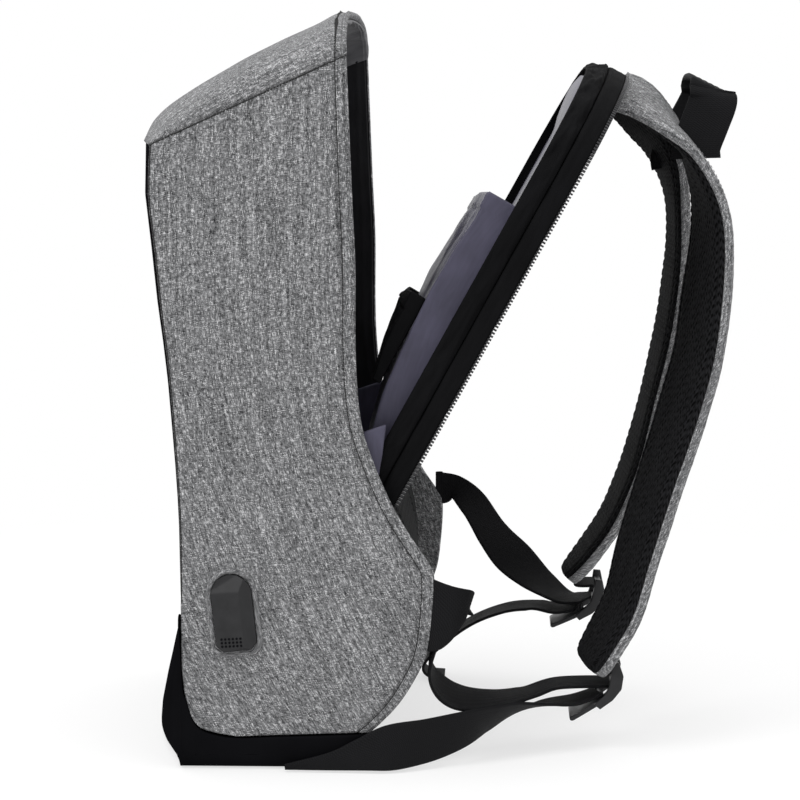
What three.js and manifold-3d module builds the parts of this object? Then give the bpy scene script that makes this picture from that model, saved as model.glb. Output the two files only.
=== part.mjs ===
// An anti-theft backpack that stands on its base with its rear panel unzipped and leaning back.
// Millimetres. +X is the wearer's right, +Y the wearer's side, -Y the outward front, +Z up.
// The origin is the middle of the flat bottom of the base.

import * as THREE from 'three';
import { mergeVertices } from 'three/addons/utils/BufferGeometryUtils.js';
import Module from 'manifold-3d';

const wasm = await Module();
wasm.setup();

// Driving dimensions of the body
const BODY_HEIGHT = 456;
const HALF_WIDTH = 144;
const SIDE_DEPTH = 168;
const FRONT_EDGE = -73;
const SIDE_BULGE = 3;
const SIDE_WALL = 4;
const ROOF_WALL = 4;
const FRONT_WALL = 4;
const FRONT_CROWN = 15.3;
const FRONT_LOW_CROWN = 9;
const SEAM_GAP = 0.3;

// Base boot
const BOOT_CROWN = 29;
const BOOT_RISER = 92;
const BOOT_FLOOR = 10;
const BOOT_EDGE_RADIUS = 8;

// Padded mesh panel below the opening
const LOWER_BACK_THICKNESS = 10;
const LOWER_BACK_CROWN = 5;

// Linings
const LINING = 1.2;
const LINING_GAP = 0.4;

// Rear panel, which swings on its lower edge
const PANEL_HINGE_INSET = 1.456;
const PANEL_HINGE_GAP = 0.604;
const PANEL_LEAN = 28.9;
const PANEL_LENGTH = 304;
const PANEL_HALF_WIDTH = 130;
const PANEL_ARCH = 85;
const PANEL_ARCH_POWER = 2.4;
const ZIP_BAND_DEPTH = 12;
const GUSSET_BAND_DEPTH = 12.4;
const BAND_WALL = 3;
const CORE_THICKNESS = 16;
const BACK_PAD_PROUD = 6;

// Pockets on the inner face of the rear panel
const POCKET_WALL = 1.5;
const LARGE_POCKET_HALF_WIDTH = 115;
const LARGE_POCKET_TOP = 201;
const LARGE_POCKET_DEPTH = 24;
const LOWER_POCKET_TOP = 126;
const LOWER_POCKET_DEPTH = 10;

// Shoulder straps
const STRAP_WIDTH = 66;
const STRAP_PAD = 8;
const STRAP_COVER = 2.4;
const STRAP_WRAP = 5;
const STRAP_REACH = 58;
const STRAP_DROP = 360;
const STRAP_SPREAD = 46;
const STRAP_ROOT_SHARE = 0.97;

// Grab handle, webbing and ladder locks
const WEBBING_WIDTH = 30;
const WEBBING_THICKNESS = 1.8;
const HANDLE_WIDTH = 30;
const HANDLE_THICKNESS = 3;
const HANDLE_RISE = 36;
const LOCK_HALF_WIDTH = 20.5;
const LOCK_RAIL = 3.5;
const LOCK_BAR_RADIUS = 2;
const LOCK_LEVER_LENGTH = 23;
const LOCK_LEVER_THICKNESS = 3;

// Port housing on the right side
const HOUSING_HEIGHT = 46;
const HOUSING_WIDTH = 24;
const HOUSING_PROUD = 7;
const HOUSING_BORDER = 3.5;
const HOUSING_BORDER_PROUD = 1.4;
const HOUSING_CENTRE_Y = -24.5;
const HOUSING_CENTRE_Z = 97;
const HOUSING_TILT = 6;

const radians = THREE.MathUtils.degToRad;
const lerp = THREE.MathUtils.lerp;

const COLOURS = {
  melange: new THREE.MeshStandardMaterial({ color: 0x8b8c8e, roughness: 0.92, metalness: 0 }),
  blackShell: new THREE.MeshStandardMaterial({ color: 0x141416, roughness: 0.5, metalness: 0 }),
  blackCloth: new THREE.MeshStandardMaterial({ color: 0x17171a, roughness: 0.85, metalness: 0 }),
  mesh: new THREE.MeshStandardMaterial({ color: 0x121214, roughness: 0.9, metalness: 0 }),
  lavender: new THREE.MeshStandardMaterial({ color: 0x77768a, roughness: 0.55, metalness: 0 }),
  darkLining: new THREE.MeshStandardMaterial({ color: 0x3a3a3e, roughness: 0.8, metalness: 0 }),
  webbing: new THREE.MeshStandardMaterial({ color: 0x101012, roughness: 0.75, metalness: 0 }),
  plastic: new THREE.MeshStandardMaterial({ color: 0x1b1b1e, roughness: 0.45, metalness: 0 }),
};

const model = new THREE.Group();

// Geometry helpers

function signedVolume(geometry) {
  const p = geometry.attributes.position;
  const index = geometry.index;
  const a = new THREE.Vector3();
  const b = new THREE.Vector3();
  const c = new THREE.Vector3();
  let volume = 0;
  for (let i = 0; i < index.count; i += 3) {
    a.fromBufferAttribute(p, index.getX(i));
    b.fromBufferAttribute(p, index.getX(i + 1));
    c.fromBufferAttribute(p, index.getX(i + 2));
    volume += a.dot(b.cross(c)) / 6;
  }
  return volume;
}

function solidFrom(points, triangles) {
  const geometry = new THREE.BufferGeometry();
  geometry.setAttribute('position', new THREE.Float32BufferAttribute(points.flatMap((p) => p.toArray()), 3));
  geometry.setIndex(triangles);
  if (signedVolume(geometry) < 0) {
    for (let i = 0; i < triangles.length; i += 3) {
      [triangles[i], triangles[i + 1]] = [triangles[i + 1], triangles[i]];
    }
    geometry.setIndex(triangles);
  }
  return geometry;
}

function addMesh(name, geometry, material) {
  geometry.computeVertexNormals();
  const mesh = new THREE.Mesh(geometry, material.clone());
  mesh.name = name;
  model.add(mesh);
  return mesh;
}

// A sheet with thickness: two grids of points with the same rows and columns, joined round their edges
function slab(outer, inner) {
  const rows = outer.length;
  const columns = outer[0].length;
  const points = [...outer.flat(), ...inner.flat()];
  const triangles = [];
  const outerAt = (i, j) => i * columns + j;
  const innerAt = (i, j) => rows * columns + i * columns + j;
  const quad = (a, b, c, d) => triangles.push(a, b, c, a, c, d);
  for (let i = 0; i < rows - 1; i += 1) {
    for (let j = 0; j < columns - 1; j += 1) {
      quad(outerAt(i, j), outerAt(i, j + 1), outerAt(i + 1, j + 1), outerAt(i + 1, j));
      quad(innerAt(i, j), innerAt(i + 1, j), innerAt(i + 1, j + 1), innerAt(i, j + 1));
    }
  }
  for (let j = 0; j < columns - 1; j += 1) {
    quad(outerAt(0, j), innerAt(0, j), innerAt(0, j + 1), outerAt(0, j + 1));
    quad(outerAt(rows - 1, j), outerAt(rows - 1, j + 1), innerAt(rows - 1, j + 1), innerAt(rows - 1, j));
  }
  for (let i = 0; i < rows - 1; i += 1) {
    quad(outerAt(i, 0), outerAt(i + 1, 0), innerAt(i + 1, 0), innerAt(i, 0));
    const j = columns - 1;
    quad(outerAt(i, j), innerAt(i, j), innerAt(i + 1, j), outerAt(i + 1, j));
  }
  return solidFrom(points, triangles);
}

// A loft through closed sections with the same number of points, capped at both ends
function loft(sections) {
  const count = sections[0].length;
  const points = sections.flat();
  const triangles = [];
  for (let i = 0; i < sections.length - 1; i += 1) {
    for (let j = 0; j < count; j += 1) {
      const k = (j + 1) % count;
      const a = i * count + j;
      const b = i * count + k;
      triangles.push(a, b, b + count, a, b + count, a + count);
    }
  }
  const capFaces = capTriangles(sections[0]);
  const last = (sections.length - 1) * count;
  for (const [a, b, c] of capFaces) {
    triangles.push(c, b, a);
    triangles.push(last + a, last + b, last + c);
  }
  return solidFrom(points, triangles);
}

// Triangles over one flat section, worked out in the section's own plane
function capTriangles(section) {
  const origin = section[0];
  const across = new THREE.Vector3();
  for (const point of section) {
    const step = point.clone().sub(origin);
    if (step.lengthSq() > across.lengthSq()) across.copy(step);
  }
  const normal = new THREE.Vector3();
  for (let i = 0; i < section.length; i += 1) {
    const next = section[(i + 1) % section.length];
    normal.add(section[i].clone().sub(origin).cross(next.clone().sub(origin)));
  }
  across.normalize();
  normal.normalize();
  const along = normal.clone().cross(across);
  const flat = section.map((point) => {
    const step = point.clone().sub(origin);
    return new THREE.Vector2(step.dot(across), step.dot(along));
  });
  return THREE.ShapeUtils.triangulateShape(flat, []);
}

function smoothRow(rows, position) {
  const last = rows.length - 1;
  const at = THREE.MathUtils.clamp(position, 0, last);
  const i = Math.min(Math.floor(at), last - 1);
  const t = at - i;
  const before = rows[Math.max(i - 1, 0)];
  const after = rows[Math.min(i + 2, last)];
  return rows[i].map((value, k) => {
    const next = rows[i + 1][k];
    const slopeIn = (next - before[k]) / 2;
    const slopeOut = (after[k] - value) / 2;
    const t2 = t * t;
    const t3 = t2 * t;
    const fromHere = value * (2 * t3 - 3 * t2 + 1) + slopeIn * (t3 - 2 * t2 + t);
    return fromHere + next * (3 * t2 - 2 * t3) + slopeOut * (t3 - t2);
  });
}

function range(count) {
  return Array.from({ length: count + 1 }, (_, i) => i / count);
}

// Side panels. Each row gives the two ends of one line across the panel:
// [front end, its height, rear end, its height], depths as shares of SIDE_DEPTH from the front
// edge, heights as shares of BODY_HEIGHT. The rear ends run out into the wing near the base.
const SIDE_ROWS = [
  [0.280, 0.045, 0.774, 0.052],
  [0.178, 0.053, 0.810, 0.064],
  [0.137, 0.068, 0.875, 0.090],
  [0.113, 0.099, 0.935, 0.125],
  [0.101, 0.138, 0.976, 0.160],
  [0.101, 0.186, 0.994, 0.208],
  [0.101, 0.230, 1.000, 0.257],
  [0.101, 0.268, 0.982, 0.276],
  [0.101, 0.311, 0.929, 0.305],
  [0.098, 0.351, 0.881, 0.333],
  [0.092, 0.395, 0.839, 0.362],
  [0.083, 0.445, 0.786, 0.408],
  [0.071, 0.507, 0.744, 0.456],
  [0.057, 0.559, 0.726, 0.511],
  [0.039, 0.614, 0.720, 0.575],
  [0.021, 0.684, 0.720, 0.669],
  [0.000, 0.757, 0.708, 0.768],
  [0.006, 0.825, 0.690, 0.939],
];
const SIDE_COLUMNS = 6;

const depthAt = (share) => FRONT_EDGE + share * SIDE_DEPTH;
const heightAt = (share) => share * BODY_HEIGHT;

function sideLine(row, u) {
  const [frontDepth, frontHeight, rearDepth, rearHeight] = SIDE_ROWS[row];
  return {
    y: lerp(depthAt(frontDepth), depthAt(rearDepth), u),
    z: lerp(heightAt(frontHeight), heightAt(rearHeight), u),
  };
}

function sidePoint(row, u, inward, side) {
  const { y, z } = sideLine(row, u);
  const v = row / (SIDE_ROWS.length - 1);
  const bulge = SIDE_BULGE * Math.sin(Math.PI * u) * Math.sin(Math.PI * v);
  return new THREE.Vector3(side * (HALF_WIDTH + bulge - inward), y, z);
}

function sideSheet(side, inwardFrom, inwardTo, firstRow, margin) {
  const rows = SIDE_ROWS.map((_, i) => i).slice(firstRow);
  const shares = range(SIDE_COLUMNS).map((u) => lerp(margin, 1 - margin, u));
  const grid = (inward) => rows.map((row) => shares.map((u) => sidePoint(row, u, inward, side)));
  return slab(grid(inwardFrom), grid(inwardTo));
}

// Front edge of the side panels at a height, found along the rows
function frontEdgeAt(z) {
  const rows = SIDE_ROWS.slice(5);
  for (let i = 0; i < rows.length - 1; i += 1) {
    const low = heightAt(rows[i][1]);
    const high = heightAt(rows[i + 1][1]);
    if (z <= high || i === rows.length - 2) {
      return lerp(depthAt(rows[i][0]), depthAt(rows[i + 1][0]), (z - low) / (high - low));
    }
  }
  return depthAt(rows[0][0]);
}

// Crown of the front across the width: 1 in the middle, 0 at the side seams
const crownShare = (x) => 1 - Math.min(1, Math.abs(x) / HALF_WIDTH) ** 2;

// Depth of that crown at a height: it grows from the boot's rim up to the roof
function frontCrownAt(z) {
  const share = (z - BOOT_RISER) / (heightAt(SIDE_ROWS.at(-1)[1]) - BOOT_RISER);
  return lerp(FRONT_LOW_CROWN, FRONT_CROWN, Math.sqrt(THREE.MathUtils.clamp(share, 0, 1)));
}

// The lining starts two rows up and stays a little inside the panel's edges
const SIDE_LINING_ROW = 2;
const SIDE_LINING_MARGIN = 0.05;
for (const [label, side] of [['right', 1], ['left', -1]]) {
  addMesh(`side_panel_${label}`, sideSheet(side, 0, SIDE_WALL, 0, 0), COLOURS.melange);
  const start = SIDE_WALL + LINING_GAP;
  const lining = sideSheet(side, start, start + LINING, SIDE_LINING_ROW, SIDE_LINING_MARGIN);
  addMesh(`side_lining_${label}`, lining, COLOURS.darkLining);
}

// Roof panel. Each row gives [side depth, side height, middle depth, middle height] of one arch
// across the bag, depths as shares of SIDE_DEPTH from the front edge, heights of BODY_HEIGHT.
const ROOF_ROWS = [
  [0.006, 0.8265, -0.085, 0.832],
  [0.050, 0.8375, -0.050, 0.856],
  [0.120, 0.8560, 0.040, 0.884],
  [0.270, 0.8935, 0.225, 0.924],
  [0.420, 0.9255, 0.400, 0.956],
  [0.560, 0.9430, 0.550, 0.982],
  [0.640, 0.9445, 0.630, 0.997],
  [0.690, 0.9460, 0.678, 0.9985],
];
const ROOF_POWER = 3;
const ROOF_COLUMNS = 14;

const roofAcross = (s) => Math.sin((s * Math.PI) / 2);

function roofPoint(row, s, inward) {
  const [sideDepth, , middleDepth, middleHeight] = ROOF_ROWS[row];
  const seam = (sideDepth - SIDE_ROWS.at(-1)[0]) / (SIDE_ROWS.at(-1)[2] - SIDE_ROWS.at(-1)[0]);
  const sideHeight = sideLine(SIDE_ROWS.length - 1, THREE.MathUtils.clamp(seam, 0, 1)).z + SEAM_GAP;
  const arch = (1 - Math.abs(roofAcross(s)) ** ROOF_POWER) ** (1 / ROOF_POWER);
  const shrink = inward / HALF_WIDTH;
  const x = HALF_WIDTH * roofAcross(s) * (1 - shrink);
  const y = lerp(depthAt(sideDepth), depthAt(middleDepth), crownShare(HALF_WIDTH * roofAcross(s)));
  const z = sideHeight + (heightAt(middleHeight) - sideHeight - inward) * arch;
  return new THREE.Vector3(x, y, z);
}

function roofSheet(inwardFrom, inwardTo, firstRow) {
  const rows = ROOF_ROWS.map((_, i) => i).slice(firstRow);
  const shares = range(ROOF_COLUMNS).map((u) => lerp(-1, 1, u));
  const grid = (inward) => rows.map((row) => shares.map((s) => roofPoint(row, s, inward)));
  return slab(grid(inwardFrom), grid(inwardTo));
}

addMesh('roof_panel', roofSheet(0, ROOF_WALL, 0), COLOURS.melange);
const ROOF_LINING_ROW = 2;
const roofLiningStart = ROOF_WALL + LINING_GAP;
const roofLining = roofSheet(roofLiningStart, roofLiningStart + LINING, ROOF_LINING_ROW);
addMesh('roof_lining', roofLining, COLOURS.darkLining);

// Front panel, from the boot's riser to the roof's front seam
const FRONT_ROWS = 8;
const FRONT_COLUMNS = 14;
const FRONT_INSET = SIDE_WALL + SEAM_GAP;
const frontHalfWidth = HALF_WIDTH - FRONT_INSET;

function frontPoint(v, s, inward, halfWidth) {
  const x = halfWidth * s;
  const arch = (1 - Math.min(1, Math.abs(x) / (HALF_WIDTH - ROOF_WALL)) ** ROOF_POWER) ** (1 / ROOF_POWER);
  const sideTop = heightAt(SIDE_ROWS.at(-1)[1]);
  const top = lerp(sideTop, heightAt(ROOF_ROWS[0][3]) - ROOF_WALL - SEAM_GAP, arch);
  const z = lerp(BOOT_RISER + SEAM_GAP, top, v);
  const y = frontEdgeAt(Math.min(z, sideTop)) - frontCrownAt(z) * crownShare(x);
  return new THREE.Vector3(x, y + inward, z);
}

function frontSheet(inwardFrom, inwardTo, halfWidth) {
  const shares = range(FRONT_COLUMNS).map((u) => roofAcross(lerp(-1, 1, u)));
  const row = (v, inward) => shares.map((s) => frontPoint(v, s, inward, halfWidth));
  const grid = (inward) => range(FRONT_ROWS).map((v) => row(v, inward));
  return slab(grid(inwardFrom), grid(inwardTo));
}

addMesh('front_panel', frontSheet(0, FRONT_WALL, frontHalfWidth), COLOURS.blackShell);
const frontLiningStart = FRONT_WALL + LINING_GAP;
const frontLiningHalfWidth = frontHalfWidth - LINING_GAP - 2 * LINING;
const frontLining = frontSheet(frontLiningStart, frontLiningStart + LINING, frontLiningHalfWidth);
addMesh('front_lining', frontLining, COLOURS.darkLining);

// Base boot: a tray with a thick floor. Its rim rises at the front and follows the side panels.
// Half of the rim from the front middle to the rear middle: [width share, depth share, rim height
// share of the riser, how much of the front crown it takes].
const BOOT_RIM = [
  [0.00, 0.101, 1.00, 1],
  [0.20, 0.101, 1.00, 1],
  [0.40, 0.101, 1.00, 1],
  [0.60, 0.101, 1.00, 1],
  [0.78, 0.101, 1.00, 1],
  [0.90, 0.096, 1.00, 1],
  [0.968, 0.087, 1.00, 1],
  [1.00, 0.088, 1.00, 0],
  [1.00, 0.0995, 0.56, 0],
  [1.00, 0.112, 0.46, 0],
  [1.00, 0.136, 0.325, 0],
  [1.00, 0.177, 0.25, 0],
  [1.00, 0.280, 0.21, 0],
  [1.00, 0.440, 0.22, 0],
  [1.00, 0.610, 0.23, 0],
  [1.00, 0.752, 0.242, 0],
  [0.97, 0.776, 0.242, 0],
  [0.85, 0.782, 0.242, 0],
  [0.60, 0.786, 0.242, 0],
  [0.30, 0.788, 0.242, 0],
  [0.00, 0.788, 0.242, 0],
];
const BOOT_WALL = SIDE_WALL + SEAM_GAP;
const BOOT_REAR_UNDERCUT = 12;

function bootRing(level, inset) {
  const half = BOOT_RIM.map((row) => bootPoint(row, level, inset));
  const mirrored = half.slice(1, -1).reverse().map((p) => new THREE.Vector3(-p.x, p.y, p.z));
  return [...half, ...mirrored];
}

// level 0 is the floor, 1 the rim; between them the wall leans out at the front
function bootPoint([widthShare, depthShare, rimShare, crowned], level, inset) {
  const x = widthShare * HALF_WIDTH;
  const bulge = lerp(BOOT_CROWN, FRONT_LOW_CROWN, level ** 1.2);
  const rear = THREE.MathUtils.smoothstep(depthShare, 0.6, 0.76) * BOOT_REAR_UNDERCUT * (1 - level);
  const y = depthAt(depthShare) - crowned * bulge * crownShare(x) - rear;
  const rim = rimShare * BOOT_RISER - (crowned ? 0 : SEAM_GAP);
  if (widthShare === 1) return new THREE.Vector3(x - inset, y, level * rim);
  return new THREE.Vector3(x * (1 - inset / HALF_WIDTH), y + (crowned ? inset : -inset), level * rim);
}

function bootSolid() {
  const flat = (ring, z) => ring.map((p) => new THREE.Vector3(p.x, p.y, z));
  const floorInner = 2 * BOOT_WALL;
  const rings = [
    flat(bootRing(0, BOOT_EDGE_RADIUS), 0),
    flat(bootRing(0, 0.28 * BOOT_EDGE_RADIUS), 0.28 * BOOT_EDGE_RADIUS),
    flat(bootRing(0.12, 0), BOOT_EDGE_RADIUS),
    bootRing(0.55, 0).map((p) => p.setZ(Math.max(p.z, BOOT_FLOOR))),
    bootRing(1, 0),
    bootRing(1, BOOT_WALL),
    bootRing(0.6, BOOT_WALL).map((p) => p.setZ(Math.max(p.z, BOOT_FLOOR + 1))),
    flat(bootRing(0, floorInner), BOOT_FLOOR),
  ];
  return loft(rings);
}

addMesh('base_boot', bootSolid(), COLOURS.blackShell);

// Lower back panel. Each row gives [height share, depth share] of its outer face at the sides.
const LOWER_BACK_ROWS = [
  [0.060, 0.740],
  [0.100, 0.800],
  [0.150, 0.855],
  [0.200, 0.885],
  [0.250, 0.890],
  [0.295, 0.872],
  [0.3285, 0.842],
];
const LOWER_BACK_COLUMNS = 8;
const lowerBackHalfWidth = HALF_WIDTH - SIDE_WALL - LINING_GAP - LINING - SEAM_GAP;

function lowerBackPoint([height, depth], s, inward) {
  const foot = LOWER_BACK_ROWS[0][0];
  const up = (height - foot) / (LOWER_BACK_ROWS.at(-1)[0] - foot);
  const crown = LOWER_BACK_CROWN * (1 - s ** 4) * Math.sin(Math.PI * (0.1 + 0.8 * up));
  return new THREE.Vector3(s * lowerBackHalfWidth, depthAt(depth) + crown - inward, heightAt(height));
}

function lowerBackSolid() {
  const shares = range(LOWER_BACK_COLUMNS).map((u) => lerp(-1, 1, u));
  const grid = (inward) => LOWER_BACK_ROWS.map((row) => shares.map((s) => lowerBackPoint(row, s, inward)));
  return slab(grid(0), grid(LOWER_BACK_THICKNESS));
}

addMesh('lower_back_panel', lowerBackSolid(), COLOURS.mesh);

// Rear panel. Its own frame: x across, s up along the panel from the hinge, t inward from the zip.
const leanSin = Math.sin(radians(PANEL_LEAN));
const leanCos = Math.cos(radians(PANEL_LEAN));

// The hinge line stands a little inside and above the lower back panel's top edge
const hingeY = depthAt(LOWER_BACK_ROWS.at(-1)[1]) - PANEL_HINGE_INSET;
const hingeZ = heightAt(LOWER_BACK_ROWS.at(-1)[0]) + PANEL_HINGE_GAP;

function panelPoint(x, s, t) {
  const y = hingeY + s * leanSin - t * leanCos;
  const z = hingeZ + s * leanCos + t * leanSin;
  return new THREE.Vector3(x, y, z);
}

const PANEL_SIDE_STEPS = 3;
const PANEL_ARCH_STEPS = 18;

// Outline of the panel from its right foot over the arch to its left foot, drawn in by inset
function panelOutline(inset) {
  const halfWidth = PANEL_HALF_WIDTH - inset;
  const shoulder = PANEL_LENGTH - PANEL_ARCH;
  const arch = PANEL_ARCH - inset;
  const outline = [];
  for (let i = 0; i < PANEL_SIDE_STEPS; i += 1) {
    outline.push([halfWidth, (shoulder * i) / PANEL_SIDE_STEPS]);
  }
  for (const share of range(PANEL_ARCH_STEPS)) {
    const angle = Math.PI * share;
    const power = 2 / PANEL_ARCH_POWER;
    const across = Math.sign(Math.cos(angle)) * Math.abs(Math.cos(angle)) ** power;
    outline.push([halfWidth * across, shoulder + arch * Math.abs(Math.sin(angle)) ** power]);
  }
  for (let i = PANEL_SIDE_STEPS - 1; i >= 0; i -= 1) {
    outline.push([-halfWidth, (shoulder * i) / PANEL_SIDE_STEPS]);
  }
  return outline;
}

// A band round the panel, of a section given as [inset, t] points
function panelBand(section) {
  const outlines = section.map(([inset]) => panelOutline(inset));
  const sections = outlines[0].map((_, i) => section.map(([, t], k) => {
    const [x, s] = outlines[k][i];
    return panelPoint(x, s, t);
  }));
  return loft(sections);
}

addMesh('zip_band', panelBand([
  [1.2, 0],
  [0, 0.25 * ZIP_BAND_DEPTH],
  [0, 0.8 * ZIP_BAND_DEPTH],
  [1.2, ZIP_BAND_DEPTH],
  [BAND_WALL, ZIP_BAND_DEPTH],
  [BAND_WALL, 0],
]), COLOURS.blackCloth);

const gussetStart = ZIP_BAND_DEPTH + SEAM_GAP;
addMesh('gusset_band', panelBand([
  [1.5, gussetStart],
  [-0.5, gussetStart + 0.3 * GUSSET_BAND_DEPTH],
  [-0.5, gussetStart + 0.7 * GUSSET_BAND_DEPTH],
  [1.2, gussetStart + GUSSET_BAND_DEPTH],
  [BAND_WALL, gussetStart + GUSSET_BAND_DEPTH],
  [BAND_WALL, gussetStart],
]), COLOURS.blackCloth);

// A plate with the panel's outline, from its lower edge up, between two depths
function panelPlate(inset, foot, tFrom, tTo) {
  const outline = panelOutline(inset).map(([x, s]) => [x, Math.max(s, foot)]);
  const ring = (t) => outline.map(([x, s]) => panelPoint(x, s, t));
  return loft([ring(tFrom), ring(tTo)]);
}

const coreInset = BAND_WALL + SEAM_GAP;
const coreFace = 1.5;
const corePlate = panelPlate(coreInset, SEAM_GAP, coreFace, coreFace + CORE_THICKNESS);
addMesh('panel_core', corePlate, COLOURS.blackCloth);

// Lining of the panel: level with the core, then rising over the gusset near the top
// [distance share of the panel's length, rise as a share of the gusset band's depth]
const PANEL_LINING_ROWS = [
  [0.02, 0.00],
  [0.40, 0.00],
  [0.66, 0.00],
  [0.80, 0.02],
  [0.86, 0.35],
  [0.92, 0.62],
  [0.965, 0.60],
];
const PANEL_LINING_COLUMNS = 10;

function panelHalfWidthAt(s, inset) {
  const shoulder = PANEL_LENGTH - PANEL_ARCH;
  const up = Math.max(0, s - shoulder) / (PANEL_ARCH - inset);
  const across = (1 - Math.min(1, up) ** PANEL_ARCH_POWER) ** (1 / PANEL_ARCH_POWER);
  return (PANEL_HALF_WIDTH - inset) * across;
}

const liningFace = coreFace + CORE_THICKNESS + LINING_GAP;

function panelLiningSolid() {
  const shares = range(PANEL_LINING_COLUMNS).map((u) => lerp(-1, 1, u));
  const inset = coreInset + LINING;
  const grid = (extra) => PANEL_LINING_ROWS.map(([share, rise]) => shares.map((across) => {
    const s = share * PANEL_LENGTH;
    const t = liningFace + extra + rise * GUSSET_BAND_DEPTH * (1 - across ** 6);
    return panelPoint(across * panelHalfWidthAt(s, inset), s, t);
  }));
  return slab(grid(LINING), grid(0));
}

addMesh('panel_lining', panelLiningSolid(), COLOURS.lavender);

// Padded mesh on the wearer's face of the panel
const BACK_PAD_ROWS = 8;
const BACK_PAD_COLUMNS = 10;
const BACK_PAD_FOOT = 0.03;
const BACK_PAD_HEAD = 0.86;
const BACK_PAD_INSET = 8;

function backPadSolid() {
  const shares = range(BACK_PAD_COLUMNS).map((u) => lerp(-1, 1, u));
  const grid = (face) => range(BACK_PAD_ROWS).map((v) => shares.map((across) => {
    const s = lerp(BACK_PAD_FOOT, BACK_PAD_HEAD, v) * PANEL_LENGTH;
    const dome = (1 - across ** 6) * (1 - (2 * v - 1) ** 6);
    const t = face === 'inner' ? coreFace - SEAM_GAP : -BACK_PAD_PROUD * dome;
    return panelPoint(across * panelHalfWidthAt(s, BACK_PAD_INSET), s, t);
  }));
  return slab(grid('outer'), grid('inner'));
}

addMesh('back_pad', backPadSolid(), COLOURS.mesh);

// Open-topped pockets: a channel section lofted along the panel.
// Rows: [distance share of the pocket's height, depth share of the pocket's depth]
function pocketSolid(halfWidth, foot, head, base, depth, rows) {
  const bow = 0.12 * depth;
  const sections = rows.map(([along, out]) => {
    const s = lerp(foot, head, along);
    const face = base + Math.max(2 * POCKET_WALL, depth * out);
    const outerLine = [[-1, base], [-1, face], [-0.5, face + bow], [0.5, face + bow], [1, face], [1, base]];
    const inner = outerLine.map(([across, t]) => [
      across * halfWidth - Math.sign(across) * (Math.abs(across) === 1 ? POCKET_WALL : 0),
      t === base ? base : t - POCKET_WALL,
    ]).reverse();
    const outer = outerLine.map(([across, t]) => [across * halfWidth, t]);
    return [...outer, ...inner].map(([x, t]) => panelPoint(x, s, t));
  });
  return loft(sections);
}

const pocketBase = liningFace + LINING + SEAM_GAP;
const LARGE_POCKET_FOOT = 10;
addMesh('large_pocket', pocketSolid(
  LARGE_POCKET_HALF_WIDTH,
  LARGE_POCKET_FOOT,
  LARGE_POCKET_TOP,
  pocketBase,
  LARGE_POCKET_DEPTH,
  [[0, 0.15], [0.12, 0.5], [0.3, 0.82], [0.6, 1], [0.85, 0.98], [1, 0.96]],
), COLOURS.lavender);

const LOWER_POCKET_MARGIN = 4;
const LOWER_POCKET_FOOT = 76;
const LOWER_POCKET_SEAT = 1.02;
const lowerPocketBase = pocketBase + LARGE_POCKET_DEPTH * LOWER_POCKET_SEAT + SEAM_GAP;
addMesh('lower_pocket', pocketSolid(
  LARGE_POCKET_HALF_WIDTH - LOWER_POCKET_MARGIN,
  LOWER_POCKET_FOOT,
  LOWER_POCKET_TOP,
  lowerPocketBase,
  LOWER_POCKET_DEPTH,
  [[0, 0.5], [0.4, 0.9], [0.8, 1], [1, 0.95]],
), COLOURS.blackCloth);

// Stay gussets: cloth sheets that hold the open panel to the body on each side
// [depth share of SIDE_DEPTH, height share of BODY_HEIGHT]
const STAY_OUTLINE = [
  [0.56, 0.310],
  [0.56, 0.425],
  [0.74, 0.447],
  [0.83, 0.457],
  [0.86, 0.440],
  [0.80, 0.380],
  [0.78, 0.345],
  [0.70, 0.310],
];
const STAY_OFFSET = 1.1;

for (const [label, side] of [['right', 1], ['left', -1]]) {
  const corner = (x, [depth, height]) => new THREE.Vector3(side * x, depthAt(depth), heightAt(height));
  const ring = (x) => STAY_OUTLINE.map((row) => corner(x, row));
  const start = PANEL_HALF_WIDTH + STAY_OFFSET;
  addMesh(`stay_gusset_${label}`, loft([ring(start), ring(start + LINING)]), COLOURS.lavender);
}

// Shoulder straps. Rows run from the yoke to the lower end:
// [reach share, drop share, spread share, roll in degrees]. Reach and drop follow the middle of
// the outer face; a roll above 0 turns the outer edge away from the bag.
const STRAP_ROWS_RIGHT = [
  [0.000, 0.000, 0.00, -17],
  [0.155, 0.008, 0.02, -17],
  [0.330, 0.026, 0.05, -15],
  [0.530, 0.057, 0.09, -9],
  [0.760, 0.102, 0.14, 0],
  [0.930, 0.162, 0.20, 7],
  [1.000, 0.218, 0.24, 12],
  [1.000, 0.276, 0.31, 15],
  [0.940, 0.359, 0.44, 18],
  [0.860, 0.451, 0.55, 18],
  [0.710, 0.540, 0.66, 18],
  [0.580, 0.608, 0.74, 17],
  [0.460, 0.667, 0.81, 16],
  [0.220, 0.794, 0.92, 15],
  [0.070, 0.884, 0.97, 13],
  [-0.150, 0.953, 1.00, 11],
  [-0.290, 0.992, 1.00, 12],
];
const STRAP_ROWS_LEFT = [
  [0.000, 0.000, 0.00, -19],
  [0.190, 0.026, 0.02, -19],
  [0.360, 0.060, 0.04, -17],
  [0.535, 0.098, 0.07, -13],
  [0.680, 0.151, 0.12, -8],
  [0.750, 0.209, 0.19, -4],
  [0.767, 0.282, 0.29, -4],
  [0.740, 0.348, 0.38, -5],
  [0.690, 0.418, 0.47, -5],
  [0.620, 0.484, 0.56, -5],
  [0.500, 0.576, 0.68, -4],
  [0.370, 0.665, 0.79, -5],
  [0.250, 0.729, 0.87, -5],
  [0.050, 0.807, 0.94, -4],
  [-0.190, 0.868, 1.00, -3],
  [-0.445, 0.920, 1.00, -2],
];
const STRAP_STEPS_PER_ROW = 2;
const YOKE_GAP = 0.6;
const STRAP_COVER_EDGE = 1.5;

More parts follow.
